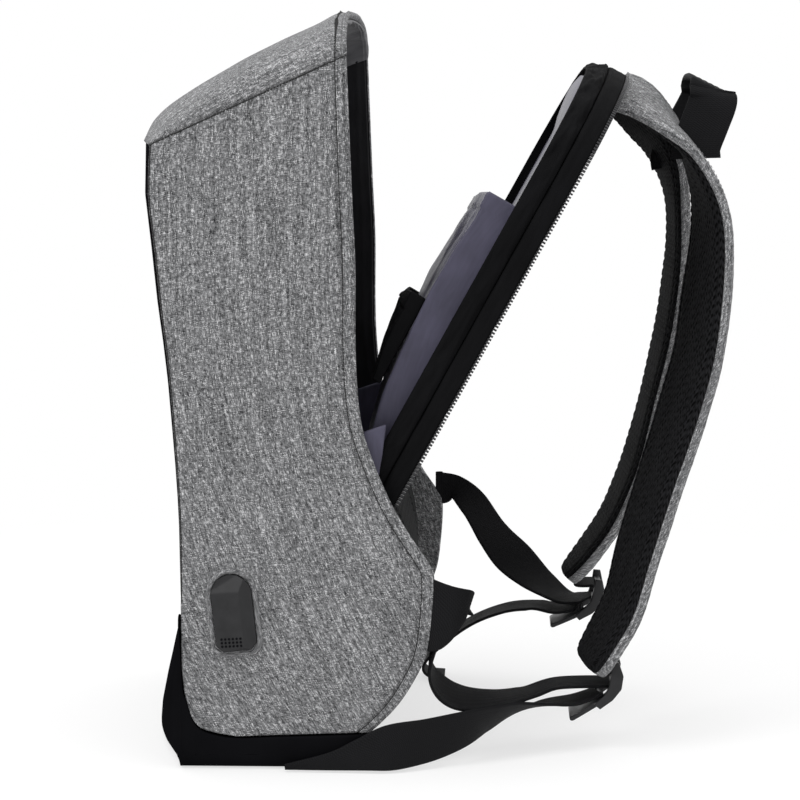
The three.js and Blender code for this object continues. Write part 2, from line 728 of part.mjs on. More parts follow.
// Stations of a strap: the middle of its outer face, its outer normal and its sideways direction
function strapStations(rows, side) {
  const count = (rows.length - 1) * STRAP_STEPS_PER_ROW;
  const rootX = STRAP_WIDTH / 2 + STRAP_COVER_EDGE + YOKE_GAP / 2;
  const root = panelPoint(0, STRAP_ROOT_SHARE * PANEL_LENGTH, -2 * SEAM_GAP);
  const place = (position) => {
    const [reach, drop, spread, roll] = smoothRow(rows, position);
    const centre = new THREE.Vector3(
      side * (rootX + spread * STRAP_SPREAD),
      root.y + reach * STRAP_REACH,
      root.z - drop * STRAP_DROP,
    );
    return { centre, roll };
  };
  return range(count).map((share) => {
    const position = share * (rows.length - 1);
    const { centre, roll } = place(position);
    const ahead = place(position + 0.1).centre;
    const behind = place(position - 0.1).centre;
    const tangent = ahead.sub(behind).setX(0).normalize();
    const normal = new THREE.Vector3(0, -tangent.z, tangent.y);
    if (share === 0) normal.set(0, leanSin, leanCos);
    const turn = radians(roll);
    const across = new THREE.Vector3(side * Math.cos(turn), 0, 0).addScaledVector(normal, Math.sin(turn));
    const outward = normal.clone().multiplyScalar(Math.cos(turn));
    outward.x -= side * Math.sin(turn);
    return { centre, across, outward: outward.normalize() };
  });
}

function strapSections(stations, shape) {
  return stations.map(({ centre, across, outward }) => shape.map(([w, n]) => (
    centre.clone().addScaledVector(across, w).addScaledVector(outward, n)
  )));
}

const padHalf = STRAP_WIDTH / 2;
const PAD_SECTION = [
  [-padHalf, -SEAM_GAP],
  [padHalf, -SEAM_GAP],
  [padHalf, -0.65 * STRAP_PAD],
  [0.8 * padHalf, -STRAP_PAD],
  [-0.8 * padHalf, -STRAP_PAD],
  [-padHalf, -0.65 * STRAP_PAD],
];
const coverHalf = padHalf + SEAM_GAP;
const coverEdge = padHalf + STRAP_COVER_EDGE;
const COVER_SECTION = [
  [-coverHalf, -STRAP_WRAP],
  [-coverHalf, 0],
  [coverHalf, 0],
  [coverHalf, -STRAP_WRAP],
  [coverEdge, -STRAP_WRAP],
  [coverEdge, 0.3 * STRAP_COVER],
  [0.6 * padHalf, STRAP_COVER],
  [-0.6 * padHalf, STRAP_COVER],
  [-coverEdge, 0.3 * STRAP_COVER],
  [-coverEdge, -STRAP_WRAP],
];

const STRAPS = {
  right: strapStations(STRAP_ROWS_RIGHT, 1),
  left: strapStations(STRAP_ROWS_LEFT, -1),
};
for (const [label, stations] of Object.entries(STRAPS)) {
  addMesh(`strap_pad_${label}`, loft(strapSections(stations, PAD_SECTION)), COLOURS.mesh);
  addMesh(`strap_cover_${label}`, loft(strapSections(stations, COVER_SECTION)), COLOURS.melange);
}

// Flat ribbons. Each station is { centre, across } with across a unit vector over the width.
function ribbonSolid(stations, width, thickness) {
  const count = stations.length;
  const sections = stations.map(({ centre, across, taper = 1 }, i) => {
    const ahead = stations[Math.min(i + 1, count - 1)].centre;
    const behind = stations[Math.max(i - 1, 0)].centre;
    const tangent = ahead.clone().sub(behind).normalize();
    const normal = tangent.clone().cross(across).normalize();
    const toEdge = across.clone().multiplyScalar((width * taper) / 2);
    const toFace = normal.multiplyScalar(thickness / 2);
    const corner = (w, n) => centre.clone().addScaledVector(toEdge, w).addScaledVector(toFace, n);
    return [corner(-1, -1), corner(1, -1), corner(1, 1), corner(-1, 1)];
  });
  return loft(sections);
}

// Stations from rows of [x, y, z, across x, across y, across z, taper]
function ribbonStations(rows, stepsPerRow) {
  const count = (rows.length - 1) * stepsPerRow;
  return range(count).map((share) => {
    const [x, y, z, ax, ay, az, taper] = smoothRow(rows, share * (rows.length - 1));
    return {
      centre: new THREE.Vector3(x, y, z),
      across: new THREE.Vector3(ax, ay, az).normalize(),
      taper,
    };
  });
}

// Grab handle, an arch of webbing from one strap to the other, sewn to their outer faces
const HANDLE_FOOT_SHARE = { right: 0.25, left: 0.2333 };
const HANDLE_LEAN = 0.27;
const HANDLE_ACROSS = new THREE.Vector3(0, 0.895, -0.446);
const HANDLE_BEND = 9;

function handleFoot(label) {
  const at = Math.round(HANDLE_FOOT_SHARE[label] * (STRAPS[label].length - 1));
  const { centre, outward } = STRAPS[label][at];
  const ahead = STRAPS[label][at + 1].centre.clone();
  const along = ahead.sub(STRAPS[label][at - 1].centre).setX(0).normalize();
  return { centre: centre.clone().addScaledVector(outward, STRAP_COVER + 2 * SEAM_GAP), along };
}

function handleLeg(foot, side, top, topY) {
  const bend = HANDLE_BEND;
  const halfSpan = Math.abs(foot.centre.x);
  const corner = (x, drop) => new THREE.Vector3(side * x, topY, top - drop);
  const across = (share) => foot.along.clone().lerp(HANDLE_ACROSS, share).normalize();
  return [
    { centre: foot.centre, across: across(0) },
    { centre: foot.centre.clone().lerp(corner(halfSpan, bend), 0.5), across: across(0.6) },
    { centre: corner(halfSpan, bend), across: across(1) },
    { centre: corner(halfSpan - 0.3 * bend, 0.3 * bend), across: across(1) },
    { centre: corner(halfSpan - bend, 0), across: across(1) },
  ];
}

function handleStations() {
  const right = handleFoot('right');
  const left = handleFoot('left');
  const top = right.centre.z + HANDLE_RISE;
  const topY = right.centre.y + HANDLE_LEAN * HANDLE_RISE;
  const middle = { centre: new THREE.Vector3(0, topY, top + 1), across: HANDLE_ACROSS };
  return [...handleLeg(right, 1, top, topY), middle, ...handleLeg(left, -1, top, topY).reverse()];
}

addMesh('grab_handle', ribbonSolid(handleStations(), HANDLE_WIDTH, HANDLE_THICKNESS), COLOURS.webbing);

// Ladder locks: two curved rails, three bars and a lever, in one moulding.
// Profile of a rail, in shares of its height, [out, up], from its lower end round the outside.
const LOCK_HEIGHT = 30;
const LOCK_RAIL_PROFILE = [
  [-0.12, 0.00],
  [0.14, 0.19],
  [0.32, 0.42],
  [0.36, 0.70],
  [0.26, 0.98],
  [0.10, 0.97],
  [0.10, 0.72],
  [0.06, 0.46],
  [-0.06, 0.26],
  [-0.24, 0.10],
];
const LOCK_BARS = [
  [0.20, 0.80],
  [0.17, 0.44],
  [-0.08, 0.14],
];
const LOCK_LEVER_SLOPE = 32;
// Each lock hangs from its strap's lower end, by millimetres inside, past and below it
const LOCK_DROPS = {
  right: { inside: 0.8, past: 7.8, below: 23.15, side: 1, turn: 0 },
  left: { inside: 0.8, past: 8.8, below: 26.05, side: -1, turn: -8 },
};
const LOCK_PLACES = Object.fromEntries(Object.entries(LOCK_DROPS).map(([label, drop]) => {
  const end = STRAPS[label].at(-1).centre;
  const x = Math.abs(end.x) - drop.inside;
  return [label, { x, y: end.y + drop.past, z: end.z - drop.below, side: drop.side, turn: drop.turn }];
}));

function toManifold(geometry) {
  const clean = geometry.clone();
  clean.deleteAttribute('normal');
  clean.deleteAttribute('uv');
  const merged = mergeVertices(clean, 1e-4);
  return new wasm.Manifold(new wasm.Mesh({
    numProp: 3,
    vertProperties: new Float32Array(merged.attributes.position.array),
    triVerts: new Uint32Array(merged.index.array),
  }));
}

function fromManifold(solid) {
  const { vertProperties, triVerts } = solid.getMesh();
  const geometry = new THREE.BufferGeometry();
  geometry.setAttribute('position', new THREE.Float32BufferAttribute(vertProperties, 3));
  geometry.setIndex([...triVerts]);
  return geometry;
}

function lockPoint(place, out, up) {
  const cos = Math.cos(radians(place.turn));
  const sin = Math.sin(radians(place.turn));
  const y = out * LOCK_HEIGHT;
  const z = up * LOCK_HEIGHT;
  return [place.y + y * cos - z * sin, place.z + y * sin + z * cos];
}

// A prism along X from a closed outline in (y, z)
function prism(outline, xFrom, xTo) {
  const ring = (x) => outline.map(([y, z]) => new THREE.Vector3(x, y, z));
  return loft([ring(xFrom), ring(xTo)]);
}

function circleOutline(y, z, radius, count) {
  return Array.from({ length: count }, (_, i) => {
    const angle = (2 * Math.PI * i) / count;
    return [y + radius * Math.cos(angle), z + radius * Math.sin(angle)];
  });
}

function lockSolid(place) {
  const middle = place.side * place.x;
  const rail = LOCK_RAIL_PROFILE.map(([out, up]) => lockPoint(place, out, up));
  const innerFace = LOCK_HALF_WIDTH - LOCK_RAIL;
  let solid = toManifold(prism(rail, middle + innerFace, middle + LOCK_HALF_WIDTH));
  solid = solid.add(toManifold(prism(rail, middle - LOCK_HALF_WIDTH, middle - innerFace)));
  for (const [out, up] of LOCK_BARS) {
    const [y, z] = lockPoint(place, out, up);
    const round = circleOutline(y, z, LOCK_BAR_RADIUS, 10);
    solid = solid.add(toManifold(prism(round, middle - innerFace - 1, middle + innerFace + 1)));
  }
  const [barY, barZ] = lockPoint(place, ...LOCK_BARS[2]);
  const slope = radians(LOCK_LEVER_SLOPE + place.turn);
  const half = LOCK_LEVER_THICKNESS / 2;
  const along = [-Math.cos(slope), -Math.sin(slope)];
  const over = [Math.sin(slope), -Math.cos(slope)];
  const leverCorner = (l, n) => [
    barY + along[0] * l + over[0] * n,
    barZ + along[1] * l + over[1] * n,
  ];
  const lever = [
    leverCorner(0, -half),
    leverCorner(LOCK_LEVER_LENGTH, -half),
    leverCorner(LOCK_LEVER_LENGTH, half),
    leverCorner(0, half),
  ];
  const leverHalf = innerFace - 2;
  solid = solid.add(toManifold(prism(lever, middle - leverHalf, middle + leverHalf)));
  return fromManifold(solid);
}

for (const [label, place] of Object.entries(LOCK_PLACES)) {
  addMesh(`ladder_lock_${label}`, lockSolid(place), COLOURS.plastic);
}

// A point beside a lock's bar, a clearance away from it, on the side where a ribbon comes in
function besideBar(place, bar, clearance, awayY, awayZ) {
  const [y, z] = lockPoint(place, ...LOCK_BARS[bar]);
  const reach = LOCK_BAR_RADIUS + clearance;
  const length = Math.hypot(awayY, awayZ);
  return [y + (reach * awayY) / length, z + (reach * awayZ) / length];
}

// Webbing from each wing to its ladder lock. The routes keep points chosen by hand on the right
// side, [beyond HALF_WIDTH, beyond the wing's edge, z, across x, across y, across z, taper].
const WEBBING_ROUTES = {
  right: [
    [-2, 0.9, 108, 0.00, -0.05, 1.00, 1],
    [-4, 12, 104, 0.15, 0.00, 0.98, 1],
    [-13, 21, 104, 0.60, 0.05, 0.80, 1],
    [-20, 25, 100, 0.93, 0.00, 0.36, 1],
    [-21, 20, 92, 1.00, 0.00, 0.10, 1],
    [-20, 9, 83, 1.00, 0.00, 0.00, 1],
    [-19, 1, 72, 1.00, 0.00, -0.04, 1],
    [-19, -2, 61, 0.98, 0.00, -0.16, 1],
    [-20, 1, 51, 0.95, 0.00, -0.30, 1],
    [-23, 9, 43, 0.94, 0.00, -0.34, 1],
    [-30, 22, 38, 0.97, 0.00, -0.22, 1],
    [-39, 40, 36.5, 1.00, 0.00, -0.08, 1],
    [-50, 58, 37.5, 1.00, 0.00, 0.00, 1],
  ],
  left: [
    [-2, 0.9, 127, 0.00, -0.10, 1.00, 1],
    [-3, 11, 130, 0.25, -0.05, 0.95, 1],
    [-8, 23, 119, 0.50, 0.30, 0.80, 1],
    [-15, 36, 99, 0.58, 0.36, 0.72, 1],
    [-24, 50, 84, 0.68, 0.32, 0.62, 1],
    [-38, 67, 70, 0.88, 0.20, 0.36, 1],
  ],
};
const TAIL_ROUTES = {
  right: [
    [-41, 51, 28, 0.92, 0.00, 0.38, 1],
    [-28, 36, 25.5, 0.78, 0.00, 0.62, 1],
    [-14, 19, 22, 0.42, 0.03, 0.90, 1],
    [-2, -3, 18, 0.10, 0.05, 0.99, 1],
    [6, -25, 15.4, -0.05, 0.10, 0.99, 1],
    [6.5, -43, 11, -0.05, 0.05, 0.99, 0.70],
    [5.5, -61, 6.6, 0.00, 0.00, 1.00, 0.40],
    [5, -89, 2.8, 0.00, 0.00, 1.00, 0.12],
  ],
  left: [
    [-40, 45, 51, 1.00, 0.00, 0.00, 1],
    [-32, 23, 41, 1.00, 0.00, 0.00, 1],
    [-28, 3, 26, 1.00, 0.00, 0.00, 1],
    [-26, -11, 11, 1.00, 0.00, 0.00, 1],
    [-26, -9, 3.2, 1.00, 0.00, 0.00, 1],
    [-26, 3, 1.3, 1.00, 0.00, 0.00, 1],
  ],
};
// The rows of each route that lie next to the lock, counted from the lock's place
const WEBBING_ARRIVALS = {
  right: [[4, -28, 13, 1.00, 0.00, 0.00, 1]],
  left: [[10, -14, 11, 1.00, 0.00, 0.08, 1]],
};
const TAIL_DEPARTURES = {
  right: [[4, -19, 2.5, 1.00, 0.00, 0.00, 1], [12, -37, 1.5, 0.99, 0.00, 0.12, 1]],
  left: [[4, -17, 4, 1.00, 0.00, 0.00, 1], [14, -33, 4, 1.00, 0.00, 0.00, 1]],
};

function routeRow([x, y, z, ...rest], from) {
  return [from.x + x, from.y + y, from.z + z, ...rest];
}

function mirroredRows(rows, side) {
  return rows.map(([x, y, z, ax, ay, az, taper]) => [side * x, y, z, side * ax, ay, az, taper]);
}

const ROUTE_STEPS = 2;
const RIBBON_END_GAP = SEAM_GAP + 0.2;
const RIBBON_SIDE_GAP = SEAM_GAP + WEBBING_THICKNESS / 2;
const wing = { x: HALF_WIDTH, y: depthAt(1), z: 0 };
for (const [label, place] of Object.entries(LOCK_PLACES)) {
  const { side } = place;
  const fromWing = WEBBING_ROUTES[label].map((row) => routeRow(row, wing));
  const toLock = WEBBING_ARRIVALS[label].map((row) => routeRow(row, place));
  const webbingRows = mirroredRows([...fromWing, ...toLock], side);
  const entry = [side * place.x, ...besideBar(place, 1, RIBBON_END_GAP, -1, 0), side, 0, 0, 1];
  const webbing = ribbonStations([...webbingRows, entry], ROUTE_STEPS);
  addMesh(`webbing_${label}`, ribbonSolid(webbing, WEBBING_WIDTH, WEBBING_THICKNESS), COLOURS.webbing);
  const fromLock = TAIL_DEPARTURES[label].map((row) => routeRow(row, place));
  const besideWing = TAIL_ROUTES[label].map((row) => routeRow(row, wing));
  const tailRows = mirroredRows([...fromLock, ...besideWing], side);
  const exit = [side * place.x, ...besideBar(place, 2, RIBBON_SIDE_GAP, -0.62, 0.78), side, 0, 0, 1];
  const tail = ribbonStations([exit, ...tailRows], ROUTE_STEPS);
  addMesh(`webbing_tail_${label}`, ribbonSolid(tail, WEBBING_WIDTH - 2, WEBBING_THICKNESS), COLOURS.webbing);
}

// Short loops of webbing from the strap ends to the top bars of the locks
const LOOP_BACK = 2;
for (const [label, place] of Object.entries(LOCK_PLACES)) {
  const stations = STRAPS[label];
  const last = stations.at(-1);
  const before = stations.at(-1 - LOOP_BACK);
  const lift = STRAP_COVER + WEBBING_THICKNESS / 2 + SEAM_GAP;
  const start = before.centre.clone().addScaledVector(before.outward, lift);
  const edge = last.centre.clone().addScaledVector(last.outward, lift);
  const [topY, topZ] = lockPoint(place, ...LOCK_BARS[0]);
  const bar = new THREE.Vector3(place.side * place.x, topY, topZ);
  const toEdge = edge.clone().sub(bar).normalize();
  const end = bar.addScaledVector(toEdge, LOCK_BAR_RADIUS + RIBBON_END_GAP);
  const path = [
    { centre: start, across: before.across },
    { centre: edge, across: last.across },
    { centre: end, across: new THREE.Vector3(place.side, 0, 0) },
  ];
  addMesh(`strap_loop_${label}`, ribbonSolid(path, WEBBING_WIDTH, WEBBING_THICKNESS), COLOURS.webbing);
}

// Port housing on the right side: a bullet-shaped moulding in a raised stitched border
function bulletOutline(width, height, steps) {
  const outline = [];
  const radius = width / 2;
  const foot = 0.15 * width;
  outline.push([-radius, -height / 2 + foot], [-radius + foot, -height / 2]);
  outline.push([radius - foot, -height / 2], [radius, -height / 2 + foot]);
  for (const share of range(steps)) {
    const angle = Math.PI * share;
    outline.push([radius * Math.cos(angle), height / 2 - radius + radius * Math.sin(angle)]);
  }
  return outline;
}

function housingRing(outline, x) {
  const tilt = radians(HOUSING_TILT);
  return outline.map(([across, up]) => new THREE.Vector3(
    x,
    HOUSING_CENTRE_Y + across * Math.cos(tilt) - up * Math.sin(tilt),
    HOUSING_CENTRE_Z + across * Math.sin(tilt) + up * Math.cos(tilt),
  ));
}

const HOUSING_STEPS = 10;
const HOUSING_BULGE_SHARE = 0.72;
const housingSeat = HALF_WIDTH + HOUSING_BULGE_SHARE * SIDE_BULGE + SEAM_GAP;
const housingOutline = bulletOutline(HOUSING_WIDTH, HOUSING_HEIGHT, HOUSING_STEPS);
const housingFace = bulletOutline(0.8 * HOUSING_WIDTH, HOUSING_HEIGHT - 0.2 * HOUSING_WIDTH, HOUSING_STEPS);
addMesh('port_housing', loft([
  housingRing(housingOutline, housingSeat),
  housingRing(housingOutline, housingSeat + 0.6 * HOUSING_PROUD),
  housingRing(housingFace, housingSeat + HOUSING_PROUD),
]), COLOURS.plastic);

const borderHole = bulletOutline(HOUSING_WIDTH + 2 * SEAM_GAP, HOUSING_HEIGHT + 2 * SEAM_GAP, HOUSING_STEPS);
const borderEdge = bulletOutline(
  HOUSING_WIDTH + 2 * HOUSING_BORDER,
  HOUSING_HEIGHT + 2 * HOUSING_BORDER,
  HOUSING_STEPS,
);
const borderBlank = toManifold(loft([
  housingRing(borderEdge, housingSeat),
  housingRing(borderEdge, housingSeat + HOUSING_BORDER_PROUD),
]));
const borderCut = toManifold(loft([
  housingRing(borderHole, housingSeat - 1),
  housingRing(borderHole, housingSeat + HOUSING_BORDER_PROUD + 1),
]));
addMesh('port_border', fromManifold(borderBlank.subtract(borderCut)), COLOURS.melange);

export default model;
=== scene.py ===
import logging
from dataclasses import dataclass
from enum import Enum
from math import cos, pi, radians, sin, tan
from typing import Sequence

import bmesh
import bpy
import numpy as np
from bpy.types import Material, NodeSocket, NodeTree, Object
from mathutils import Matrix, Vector, noise


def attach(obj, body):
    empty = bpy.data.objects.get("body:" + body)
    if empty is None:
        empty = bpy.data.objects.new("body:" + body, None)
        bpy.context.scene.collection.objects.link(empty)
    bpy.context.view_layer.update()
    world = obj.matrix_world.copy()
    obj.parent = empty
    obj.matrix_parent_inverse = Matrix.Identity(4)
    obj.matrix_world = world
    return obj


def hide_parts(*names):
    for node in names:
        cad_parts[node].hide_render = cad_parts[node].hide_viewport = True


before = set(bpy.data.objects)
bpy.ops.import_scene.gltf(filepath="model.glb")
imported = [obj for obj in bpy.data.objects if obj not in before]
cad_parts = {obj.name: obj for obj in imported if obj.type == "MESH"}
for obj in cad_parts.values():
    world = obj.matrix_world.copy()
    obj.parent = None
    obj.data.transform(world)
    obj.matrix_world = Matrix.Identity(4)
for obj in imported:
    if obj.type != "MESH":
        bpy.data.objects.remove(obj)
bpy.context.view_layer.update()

LOG = logging.getLogger("backpack")
MM = 0.001
WEAVE = "Weave"
Array = np.ndarray
Colour = tuple[float, float, float]
Place = tuple[float, float, float]
Rows = Sequence[Sequence[float]]
Line = tuple[Array, Array]


class Side(Enum):
    """The two sides of the bag, with the sign of X on each."""

    RIGHT = 1
    LEFT = -1

    @property
    def label(self) -> str:
        """Return the side's name as the frame's nodes spell it."""
        return self.name.lower()


class Mark(Enum):
    """The small shapes that are repeated along a path."""

    STITCH = "stitch"
    TOOTH = "tooth"
    STUD = "stud"


# Curves and fields


def hermite(four: Sequence[Array], t: Array, pull: float = 0.5) -> Array:
    """Return places on a smooth curve between the middle two of four points.

    Args:
        four: The points, in order.
        t: Places from 0 at the second point to 1 at the third.
        pull: How far the outer points turn the curve.

    Returns:
        The places.
    """
    before, here, after, beyond = four
    slope_in, slope_out = pull * (after - before), pull * (beyond - here)
    start = here * (2 * t**3 - 3 * t**2 + 1) + slope_in * (t**3 - 2 * t**2 + t)
    return start + after * (3 * t**2 - 2 * t**3) + slope_out * (t**3 - t**2)


def smooth_rows(rows: Rows, position: Array) -> Array:
    """Read a table at any position along its rows, smoothly.

    Args:
        rows: The table, one list of numbers for each row.
        position: Places along the rows, from 0 to the last row's number.

    Returns:
        One row of numbers for each position.
    """
    table = np.asarray(rows, dtype=float)
    last = len(table) - 1
    at = np.clip(np.asarray(position, dtype=float), 0, last)
    index = np.minimum(np.floor(at).astype(int), last - 1)
    four = [table[np.clip(index + k, 0, last)] for k in (-1, 0, 1, 2)]
    return hermite(four, (at - index)[..., None])


def smoothstep(value: Array, low: float, high: float) -> Array:
    """Return a smooth climb from 0 at low to 1 at high."""
    t = np.clip((np.asarray(value, dtype=float) - low) / (high - low), 0, 1)
    return t * t * (3 - 2 * t)


def bell(value: Array, centre: float, width: float) -> Array:
    """Return a bell round a centre, 1 high there and a third as high a width away."""
    return np.exp(-(((np.asarray(value, dtype=float) - centre) / width) ** 2))


def soft_noise(points: Array, size: float, seed: float) -> Array:
    """Return smooth noise of about -0.7 to 0.7, its hills a size apart, moved by a seed."""
    places = points.reshape(-1, 3) / size + np.array([seed, -seed, 2 * seed])
    return np.array([noise.noise(Vector(spot)) for spot in places.tolist()]).reshape(points.shape[:-1])


def gathers(along: Array, away: Array, pitch: float, reach: float, seed: float) -> Array:
    """Return the small gathers that a seam pulls into cloth.

    Args:
        along: Distance along the seam.
        away: Distance from the seam.
        pitch: Mean distance between two gathers.
        reach: How far from the seam they fade.
        seed: Moves the pattern.

    Returns:
        Heights from -1 to 1, before scaling.
    """
    along, away = np.broadcast_arrays(along, away)
    line = np.stack([along, np.full(along.shape, seed), 0.2 * away], -1)
    wobble = soft_noise(line, 3 * pitch, seed)
    return np.sin(2 * np.pi * along / pitch + 7 * wobble) * np.exp(-away / reach)


def spaced(count: int, ends: float = 0.6) -> Array:
    """Return shares from 0 to 1, the closer near both ends the nearer ends is to 1."""
    even = np.linspace(0, 1, count)
    return (1 - ends) * even + ends * (0.5 - 0.5 * np.cos(np.pi * even))


def run_lengths(points: Array, axis: int) -> Array:
    """Return the distance run over a grid of points, down its rows or along its columns."""
    steps = np.linalg.norm(np.diff(points, axis=axis), axis=-1)
    return np.insert(np.cumsum(steps, axis=axis), 0, 0, axis=axis)


def run_uv(grid: Array) -> Array:
    """Return texture places that follow a grid's own lengths."""
    return np.stack([run_lengths(grid, 1), run_lengths(grid, 0)], -1)


def grid_normals(points: Array) -> Array:
    """Return the unit normal at each point of a grid."""
    return unit(np.cross(np.gradient(points, axis=1), np.gradient(points, axis=0)))


def facing_up(vectors: Array) -> Array:
    """Return vectors turned to point upwards."""
    return vectors * np.where(vectors[..., 2:] < 0, -1, 1)


def unit(vectors: Array) -> Array:
    """Return vectors scaled to length 1."""
    return vectors / np.maximum(np.linalg.norm(vectors, axis=-1, keepdims=True), 1e-12)


def resample(path: Array, count: int) -> Array:
    """Return points spread evenly along an open path."""
    run = run_lengths(path, 0)
    return np.stack([np.interp(np.linspace(0, run[-1], count), run, column) for column in path.T], -1)


def ring_of(corners: Array, count: int) -> Array:
    """Return points spread evenly round a closed line of corners."""
    return resample(np.concatenate([corners, corners[:1]]), count + 1)[:-1]


def mirrored_ring(right: Rows, lead: int, count: int) -> Array:
    """Return a closed section from its right half, begun a few corners before it."""
    corners = np.concatenate([right, np.array(right)[::-1] * np.array([-1, 1])])
    return ring_of(np.roll(corners, lead, axis=0), count)


def even_lines(lines: Sequence[Line], count: int) -> list[Line]:
    """Return seam lines, each with its points spread evenly."""
    return [(resample(path, count), unit(resample(ups, count))) for path, ups in lines]


# Meshes


def put(name: str, data: bpy.types.ID) -> Object:
    """Add an object to the scene.

    Args:
        name: Its name.
        data: Its mesh, lamp or lens.

    Returns:
        The object.
    """
    item = bpy.data.objects.new(name, data)
    bpy.context.scene.collection.objects.link(item)
    return item


def new_object(
    name: str, points: Array, faces: list[list[int]], uv: list[tuple[float, float]],
    materials: Sequence[Material], slots: Sequence[int] | None = None,
) -> Object:
    """Make a closed, smooth mesh object whose faces point outwards.

    Args:
        name: Its name.
        points: Vertices, in metres.
        faces: Vertex numbers of each face.
        uv: A texture place, in metres, for each corner of each face.
        materials: The piece's materials.
        slots: The material number of each face, or None for the first.

    Returns:
        The new object, at the origin.
    """
    mesh = bpy.data.meshes.new(name)
    mesh.from_pydata(points.reshape(-1, 3).tolist(), [], faces)
    layer = mesh.uv_layers.new(name=WEAVE)
    layer.data.foreach_set("uv", np.asarray(uv, dtype=float).ravel())
    for material in materials:
        mesh.materials.append(material)
    mesh.polygons.foreach_set("use_smooth", [True] * len(mesh.polygons))
    if slots is not None:
        mesh.polygons.foreach_set("material_index", list(slots))
    turned = bmesh.new()
    turned.from_mesh(mesh)
    bmesh.ops.recalc_face_normals(turned, faces=turned.faces)
    turned.to_mesh(mesh)
    turned.free()
    mesh.update()
    return put(name, mesh)


def quads(rows: int, columns: int, start: int = 0) -> Array:
    """Return the vertices of a grid's quads, counted from the grid's first vertex."""
    corner = start + np.arange(rows - 1)[:, None] * columns + np.arange(columns - 1)[None]
    return np.stack([corner, corner + 1, corner + columns + 1, corner + columns], -1).reshape(-1, 4)


def rim_indices(rows: int, columns: int) -> Array:
    """Return a grid's boundary vertices in order, once round."""
    top = np.arange(columns)
    right = np.arange(1, rows) * columns + columns - 1
    bottom = (rows - 1) * columns + np.arange(columns - 2, -1, -1)
    left = np.arange(rows - 2, 0, -1) * columns
    return np.concatenate([top, right, bottom, left])


def slab(
    name: str, outer: Array, inner: Array, uv: Array,
    outside: Material, inside: Material | None = None, fullness: float = 0.5,
) -> Object:
    """Make a wall between two grids, closed by a rounded rim.

    Args:
        name: Its name.
        outer: Grid of points of the outer face.
        inner: Grid of points of the inner face, with the same rows and columns.
        uv: Texture places of the grid, in metres.
        outside: Material of the outer face and rim.
        inside: Material of the inner face, or None for the same one.
        fullness: How far the rim stands out, as a share of the wall.

    Returns:
        The new object.
    """
    rows, columns = outer.shape[:2]
    count = rows * columns
    rim = rim_indices(rows, columns)
    flat_outer, flat_inner = outer.reshape(-1, 3), inner.reshape(-1, 3)
    flat_uv = uv.reshape(-1, 2)
    middle = (flat_outer[rim] + flat_inner[rim]) / 2
    wall = np.linalg.norm(flat_outer[rim] - flat_inner[rim], axis=-1, keepdims=True)
    forward = unit(np.roll(middle, -1, axis=0) - np.roll(middle, 1, axis=0))
    through = unit(flat_outer[rim] - flat_inner[rim])
    away = unit(np.cross(forward, through))
    centre = (flat_outer.mean(axis=0) + flat_inner.mean(axis=0)) / 2
    if np.sum(away * (middle - centre)) < 0:
        away = -away
    middle = middle + away * wall * fullness
    points = np.concatenate([flat_outer, flat_inner, middle])
    outer_faces = quads(rows, columns)
    inner_faces = quads(rows, columns, count)
    nxt = np.roll(np.arange(len(rim)), -1)
    ring = 2 * count + np.arange(len(rim))
    upper = np.stack([rim, rim[nxt], ring[nxt], ring], -1)
    lower = np.stack([ring, ring[nxt], count + rim[nxt], count + rim], -1)
    faces = np.concatenate([outer_faces, inner_faces, upper, lower])
    ring_uv = flat_uv[rim] + wall * fullness
    all_uv = np.concatenate([flat_uv, flat_uv, ring_uv])
    materials = [outside] if inside is None else [outside, inside]
    slots = np.zeros(len(faces), dtype=int)
    if inside is not None:
        slots[len(outer_faces):len(outer_faces) + len(inner_faces)] = 1
    return new_object(name, points, faces.tolist(), all_uv[faces.ravel()], materials, slots.tolist())


def loft(name: str, rings: Array, material: Material, caps: bool = True) -> Object:
    """Make a closed body through closed rings of points.

    Args:
        name: Its name.
        rings: Rings of points, the first axis along the body.
        material: The body's material.
        caps: True closes both ends, False joins the last ring to the first.

    Returns:
        The new object.
    """
    count, size = rings.shape[:2]
    closed = np.concatenate([rings, rings[:, :1]], axis=1)
    if not caps:
        closed = np.concatenate([closed, closed[:1]], axis=0)
    uv = run_uv(closed)
    row = np.arange(closed.shape[0] - 1)[:, None]
    column = np.arange(size)[None]
    along, round_ = (row + 1) % count, (column + 1) % size
    first, after = row * size, along * size
    faces = np.stack([first + column, first + round_, after + round_, after + column], -1)
    faces = faces.reshape(-1, 4).tolist()
    corner_uv = np.stack([uv[:-1, :-1], uv[:-1, 1:], uv[1:, 1:], uv[1:, :-1]], 2)
    corner_uv = corner_uv.reshape(-1, 2).tolist()
    points = rings.reshape(-1, 3)
    if caps:
        for end, base in ((0, 0), (count - 1, (count - 1) * size)):
            centre = len(points)
            points = np.concatenate([points, rings[end].mean(axis=0)[None]])
            for k in range(size):
                faces.append([base + k, base + (k + 1) % size, centre])
                corner_uv += [uv[end, k].tolist(), uv[end, k + 1].tolist(), uv[end, k].tolist()]
    return new_object(name, points, faces, corner_uv, [material])


def surface_area(grid: Array) -> float:
    """Return the area of a grid of points, in square metres."""
    a, b = grid[:-1, :-1], grid[:-1, 1:]
    c, d = grid[1:, 1:], grid[1:, :-1]
    doubled = [np.linalg.norm(np.cross(p - a, q - a), axis=-1) for p, q in ((b, c), (c, d))]
    return float(sum(doubled).sum() / 2)


def place(piece: Object, slot: str, *nodes: str) -> Object:
    """Let a piece ride on the frame in place of its nodes.

    Args:
        piece: The piece.
        slot: The record's material slot of its finish. It is not used.
        *nodes: The nodes that it stands for.

    Returns:
        The same piece.
    """
    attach(piece, "root")
    if nodes:
        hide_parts(*nodes)
    LOG.info("%s: %d faces", piece.name, len(piece.data.polygons))
    return piece


